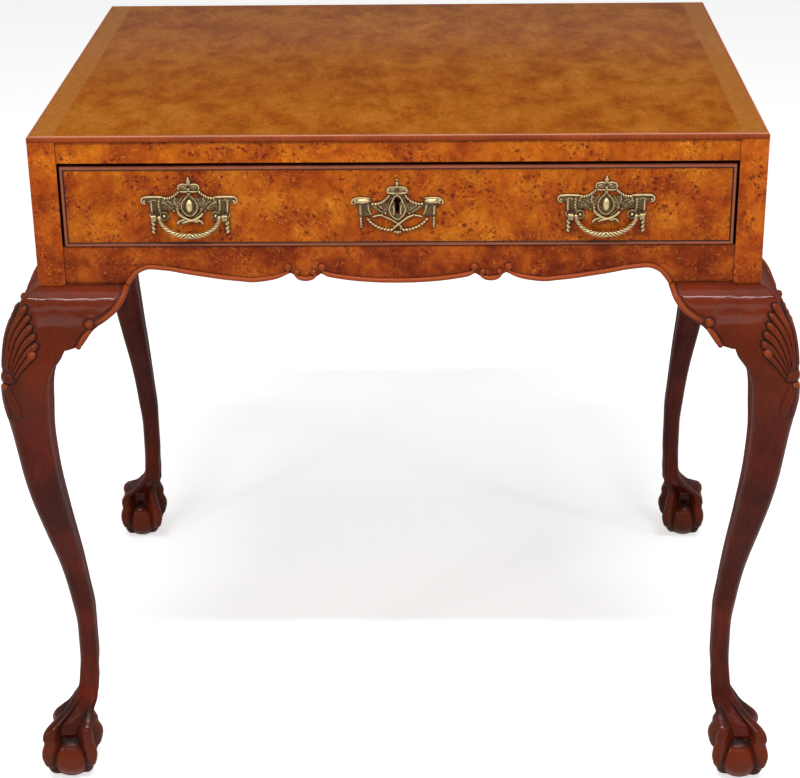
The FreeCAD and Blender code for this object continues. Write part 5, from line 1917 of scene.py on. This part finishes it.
ESCUTCHEON_MIDDLE_STROKES = (
    Stroke(((-16.6, -14.8), (-11, -17.4), (-4, -21), (2, -25.4), (5, -29.6)), 0.85, 0.8,
           height=1.8),
    Stroke(((16.6, -14.8), (10.6, -17), (3.4, -22.4), (-4.6, -29)), 0.95, 0.95, height=2.3),
)
ESCUTCHEON = Ornament(26.14, ESCUTCHEON_GROUNDS, ESCUTCHEON_STROKES, ESCUTCHEON_STUDS,
                      ESCUTCHEON_MIDDLE_STROKES, ESCUTCHEON_MIDDLE_STUDS)


@dataclass
class Bail:
    """A drop handle's bail: a cast rope that twists both ways from its middle, on two short pins."""

    depth: float
    drop: Table = ((-30.9, -10.6), (-30.2, -14.6), (-26.6, -20.2), (-20, -25.9), (-10.4, -29.8),
                   (0, -30.8), (10.4, -29.8), (20, -25.9), (26.6, -20.2), (30.2, -14.6), (30.9, -10.6))
    # Share of the rope's length, and its radius there
    swell: Table = ((0, 1.7), (0.16, 2.2), (0.5, 2.9), (0.84, 2.2), (1, 1.7))
    pin: Table = ((30.6, -11), (37.4, -11))
    pin_radius: float = 1.5
    knob: tuple[float, float] = (30.9, -11.0)
    knob_radius: float = 2.4
    # The strands, the grooves along them, and the share of the radius that a groove leaves
    strands: int = 4
    grooves: int = 21
    core: float = 0.6

    def section(self, turn: Points, share: float) -> Points:
        """The rope's strands round its centre line."""
        phase = math.pi * self.grooves * abs(share - 0.5) / (self.strands / 2)
        return self.core + (1.06 - self.core) * np.abs(np.cos(self.strands / 2 * (turn + phase))) ** 0.6

    def build(self, name: str, middle: Vector) -> Piece:
        """Model the bail as it hangs.

        Args:
            name: Its name.
            middle: The middle of its plate's ornament, in metres.

        Returns:
            The bail.
        """
        flat = route(self.drop, 260)
        line = np.stack([flat[:, 0], np.full(len(flat), self.depth), flat[:, 1]], axis=-1)
        thick = np.interp(np.linspace(0, 1, len(flat)), *np.array(self.swell).T)
        parts = [tube("rope", line, thick, sides=40, section=self.section)]
        for side in Side:
            ends = np.array([(side.value * place, self.depth, height) for place, height in self.pin])
            parts.append(mark(tube("pin", ends, np.full(2, self.pin_radius), sides=16), 0.5))
            place = (side.value * self.knob[0], self.depth, self.knob[1])
            parts.append(mark(ball("knob", place, 3 * [self.knob_radius], 18), 0.8))
        whole = join(name, parts)
        whole.data.transform(Matrix.Translation(middle))
        return whole


# The stage, the lights and the camera

@dataclass(frozen=True)
class Lamp:
    """A soft rectangular lamp that faces the table, with its place and size in metres.

    Its glow is how bright its face is, where white paper in the world is one.
    """

    name: str
    place: tuple[float, float, float]
    size: tuple[float, float]
    glow: float
    aim: float = 0.55

    def build(self) -> None:
        """Hang the lamp."""
        data = bpy.data.lights.new(self.name, "AREA")
        data.shape = "RECTANGLE"
        data.size, data.size_y = self.size
        data.energy = self.glow * math.pi * data.size * data.size_y
        item = bpy.data.objects.new(self.name, data)
        bpy.context.scene.collection.objects.link(item)
        item.location = self.place
        toward = Vector((0, 0, self.aim)) - Vector(self.place)
        item.rotation_euler = toward.to_track_quat("-Z", "Y").to_euler()


@dataclass
class Studio:
    """A pale floor, soft lamps and the camera at the height of someone who stands before the table."""

    # The camera: its place in millimetres, its turns in degrees, and its focal length in pixels
    place: tuple[float, float, float] = (50.5, -2254.9, 1351.1)
    yaw: float = -1.459
    pitch: float = 23.862
    roll: float = -0.728
    focal_pixels: float = 2014.0
    sensor: float = 36.0
    floor_size: float = 60.0
    # How bright the world and the floor are: the world as a light, and what the floor adds to its
    # own colour where it is seen
    sky: float = 0.2
    floor_colour: str = "#E8E8E8"
    floor_glow: float = 0.62
    lamps: tuple[Lamp, ...] = (
        Lamp("front_strip", (0.0, -1.75, 3.3), (2.4, 0.11), 95.0),
        Lamp("front_window", (0.0, -3.0, 2.5), (3.2, 0.5), 3.6),
        Lamp("overhead", (0.0, -0.7, 3.3), (2.4, 1.2), 2.9),
        Lamp("left_window", (-2.4, -2.2, 1.9), (0.3, 1.2), 11.0),
        Lamp("right_window", (2.6, -1.2, 2.0), (0.3, 1.1), 9.4),
    )

    def camera(self) -> None:
        """Make the camera and set it as the scene's."""
        yaw, pitch, roll = [math.radians(angle) for angle in (self.yaw, self.pitch, self.roll)]
        ahead = Vector((math.sin(yaw) * math.cos(pitch), math.cos(yaw) * math.cos(pitch), -math.sin(pitch)))
        right = Vector((math.cos(yaw), -math.sin(yaw), 0))
        up = right.cross(ahead)
        turned = math.cos(roll) * right + math.sin(roll) * up
        upright = -math.sin(roll) * right + math.cos(roll) * up
        data = bpy.data.cameras.new("camera")
        data.sensor_width = self.sensor
        data.lens = self.focal_pixels * self.sensor / PICTURE_WIDTH
        data.clip_end = 100
        item = bpy.data.objects.new("camera", data)
        bpy.context.scene.collection.objects.link(item)
        rows = [[turned[axis], upright[axis], -ahead[axis], self.place[axis] * METRES] for axis in range(3)]
        item.matrix_world = Matrix([*rows, [0, 0, 0, 1]])
        bpy.context.scene.camera = item

    def seen(self, tree: Tree) -> Socket:
        """Tell the rays that show the background from those that light the table.

        Args:
            tree: The node tree.

        Returns:
            One for the first, and none for the others.
        """
        ray = add(tree, "LightPath")
        shown = add(tree, "Math", {0: ray.outputs["Is Camera Ray"], 1: ray.outputs["Is Glossy Ray"]},
                    operation="MAXIMUM").outputs[0]
        return add(tree, "Math", {0: shown, 1: ray.outputs["Is Transmission Ray"]},
                   operation="MAXIMUM").outputs[0]

    def world(self) -> None:
        """A white world that lights the table softly."""
        world = bpy.data.worlds.new("studio")
        bpy.context.scene.world = world
        world.use_nodes = True
        tree = world.node_tree
        tree.nodes.clear()
        strength = add(tree, "MapRange", {"Value": self.seen(tree), "To Min": self.sky,
                                          "To Max": 1.0}).outputs[0]
        light = add(tree, "Background", {"Color": (1, 1, 1, 1), "Strength": strength})
        add(tree, "OutputWorld", {"Surface": light.outputs[0]})

    def floor(self) -> None:
        """A pale floor that shows as white and keeps the table's shadow."""
        deselect()
        bpy.ops.mesh.primitive_plane_add(size=self.floor_size, location=(0, 0, 0))
        item = bpy.context.active_object
        item.name = "floor"
        material, tree = blank_material("studio_floor")
        paper = add(tree, "BsdfDiffuse", {"Color": linear(self.floor_colour)}).outputs[0]
        glow = add(tree, "MapRange", {"Value": self.seen(tree), "To Min": 0.0,
                                      "To Max": self.floor_glow}).outputs[0]
        lit = add(tree, "Emission", {"Color": (1, 1, 1, 1), "Strength": glow}).outputs[0]
        both = add(tree, "AddShader", {0: paper, 1: lit}).outputs[0]
        add(tree, "OutputMaterial", {"Surface": both})
        item.data.materials.append(material)

    def build(self) -> None:
        """Set up the whole studio."""
        scene = bpy.context.scene
        scene.view_settings.view_transform = "Standard"
        self.camera()
        self.world()
        self.floor()
        for lamp in self.lamps:
            lamp.build()


# The whole table

class Finishes:
    """Every finish of the table, each made once."""

    def __init__(self) -> None:
        """Make the materials."""
        # The drawer and the apron carry wider painted shade round their beads and brasses
        self.drawer = BurrVeneer("burr_walnut_drawer", dark="#84300A", middle="#A34B0C", light="#BA6614",
                                 shade_and_grime_reach=8.0, shade_and_grime_open=0.93).build()
        self.rail = BurrVeneer("burr_walnut_rail", dark="#903A0C", middle="#AB510E", light="#C26A14",
                               offset=(0.31, 0.0, 0.17), eye_cover=0.45).build()
        self.stile = BurrVeneer("burr_walnut_stile", dark="#7E2E08", middle="#9D420D", light="#BC5F15",
                                offset=(0.7, 0.2, 0.0), eye_cover=0.45).build()
        self.apron = BurrVeneer("burr_walnut_apron", dark="#6A2105", middle="#8B370A", light="#AC5413",
                                offset=(0.13, 0.4, 0.35), eye_cover=0.45, shade_and_grime_reach=9.0,
                                shade_and_grime_open=0.98).build()
        self.top = BurrVeneer("burr_walnut_top", dark="#7B3D11", middle="#8B4D15", light="#975B1F",
                              stretch=(1.0, 0.6, 1.0), eye_strength=0.3, band=27.0, shine=0.001,
                              depth=0.16).build()
        self.mahogany = CarvedMahogany().build()
        # The bead's rubbed colour paints the highlight on the cock bead's crown, as well as wear
        self.bead = CarvedMahogany("waxed_mahogany_bead", deep="#4F1809", middle="#6E2911",
                                   wear_and_highlight_colour="#BC7048", shine=0.2).build()
        # The lipping's cream rubbed colour paints the highlight along the top's arris
        self.lipping = CarvedMahogany("polished_mahogany_lipping", deep="#772909", middle="#923B0D",
                                      wear_and_highlight_colour="#FAD2AA", shine=0.07).build()
        self.cast_brass = CastBrass().build()
        self.plain_cast_brass = CastBrass("cast_brass_plain", plain=0.6).build()
        self.sheet_brass = PlainMetal("sheet_brass", "#C9AC62", "#9C8148").build()
        self.steel = PlainMetal("drawn_steel", "#9A9A9C", "#6E6E70").build()
        self.oak = BareBoard("planed_oak", "#8A6238", "#B98F5C").build()
        self.pine = BareBoard("planed_pine", "#A97C48", "#D0A873", ring=10.0).build()

    def dress_frame(self) -> None:
        """Give every node of the frame its finish."""
        by_name = {
            "drawer_front": self.drawer, "top_front_rail": self.rail, "top_board": self.top,
            "apron_front": self.apron, "cock_bead": self.bead, "apron_bead": self.bead,
            "side_bead_left": self.bead, "side_bead_right": self.bead,
        }
        by_slot = {
            "burr_veneer": self.stile, "carved_mahogany": self.mahogany, "oak": self.oak, "pine": self.pine,
            "antique_brass": self.plain_cast_brass, "brass": self.sheet_brass, "steel": self.steel,
        }
        slots = {part["node"]: part["material_slot"] for part in frame["record"]["subparts"]}
        for name, item in frame["nodes"].items():
            item.data.materials.clear()
            item.data.materials.append(by_name.get(name) or by_slot[slots[name]])
            log.info("%s: finished", name)


class TeaTable:
    """The whole table: each sub-assembly in its place, in its finish and on its body."""

    def __init__(self, finishes: Finishes) -> None:
        """Read the case and the drawer's face from the frame.

        Args:
            finishes: The table's finishes.
        """
        self.finishes = finishes
        self.case = Case.from_frame()
        self.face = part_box("drawer_front")[0].y / METRES

    def fit_carving(self, item: Piece, node: str) -> None:
        """Finish a carved piece in waxed mahogany, in place of its node."""
        fit_out(item, self.finishes.mahogany, "root", [node])

    def build_legs(self) -> CarvedLeg:
        """Carve one leg and stand a copy at each corner.

        Returns:
            The leg, whose knee the ears carry on.
        """
        leg = CarvedLeg(self.case)
        pattern = leg.build()
        for corner in Corner:
            self.fit_carving(leg.place(pattern, corner), "leg_" + corner.name.lower())
        bpy.data.objects.remove(pattern)
        return leg

    def build_ears(self, leg: CarvedLeg) -> None:
        """Carve one ear and set a copy on both sides of every leg.

        Args:
            leg: The leg, whose knee the ears carry on.
        """
        ear = KneeEar(self.case, leg)
        pattern = ear.build()
        for corner in Corner:
            for along_front in (True, False):
                placed = ear.place(pattern, corner, along_front)
                self.fit_carving(placed, placed.name.removesuffix("_carved"))
        bpy.data.objects.remove(pattern)

    def build_beads(self) -> None:
        """Run the beads along the apron and the two side rails."""
        self.fit_carving(ApronBead(self.case).build("apron_bead_scrolled"), "apron_bead")
        for side in Side:
            node = "side_bead_" + side.name.lower()
            self.fit_carving(SideBead(self.case).build(node + "_round", side), node)

    def build_top(self) -> None:
        """Lay the top's field and the lipping round it."""
        top = TopBoard(self.case)
        node = ["top_board"]
        fit_out(top.field("top_board_field"), self.finishes.top, "root", node)
        fit_out(top.lipping("top_board_lipping"), self.finishes.lipping, "root", node)

    def build_cock_bead(self) -> None:
        """Set the cock bead round the drawer front."""
        bead = CockBead(self.face).build("cock_bead_round")
        fit_out(bead, self.finishes.bead, "drawer", ["cock_bead"])

    def build_handle(self, side: Side) -> None:
        """Mount one handle: its plate on the drawer, and its bail on a body of its own.

        Args:
            side: Its side of the drawer.
        """
        name = side.name.lower()
        node = "handle_plate_" + name
        plate = Casting(self.face, HANDLE).build(node + "_cast", node)
        fit_out(plate, self.finishes.cast_brass, "drawer", [node])
        middle = plate_middle(node, HANDLE)
        node = "handle_bail_" + name
        low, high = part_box(node)
        bail = Bail((low.y + high.y) / 2 / METRES).build(node + "_rope", middle)
        fit_out(bail, self.finishes.cast_brass, "bail_" + name, [node])

    def build_escutcheon(self) -> None:
        """Pin the escutcheon round the keyhole."""
        plate = Casting(self.face, ESCUTCHEON).build("escutcheon_cast", "escutcheon")
        fit_out(plate, self.finishes.cast_brass, "drawer", ["escutcheon"])


def main() -> None:
    """Build the table's looks in order."""
    logging.basicConfig(level=logging.INFO, format="%(name)s %(message)s")
    Studio().build()
    finishes = Finishes()
    finishes.dress_frame()
    table = TeaTable(finishes)
    table.build_ears(table.build_legs())
    table.build_beads()
    table.build_top()
    table.build_cock_bead()
    for side in Side:
        table.build_handle(side)
    table.build_escutcheon()


if __name__ == "__main__":
    main()
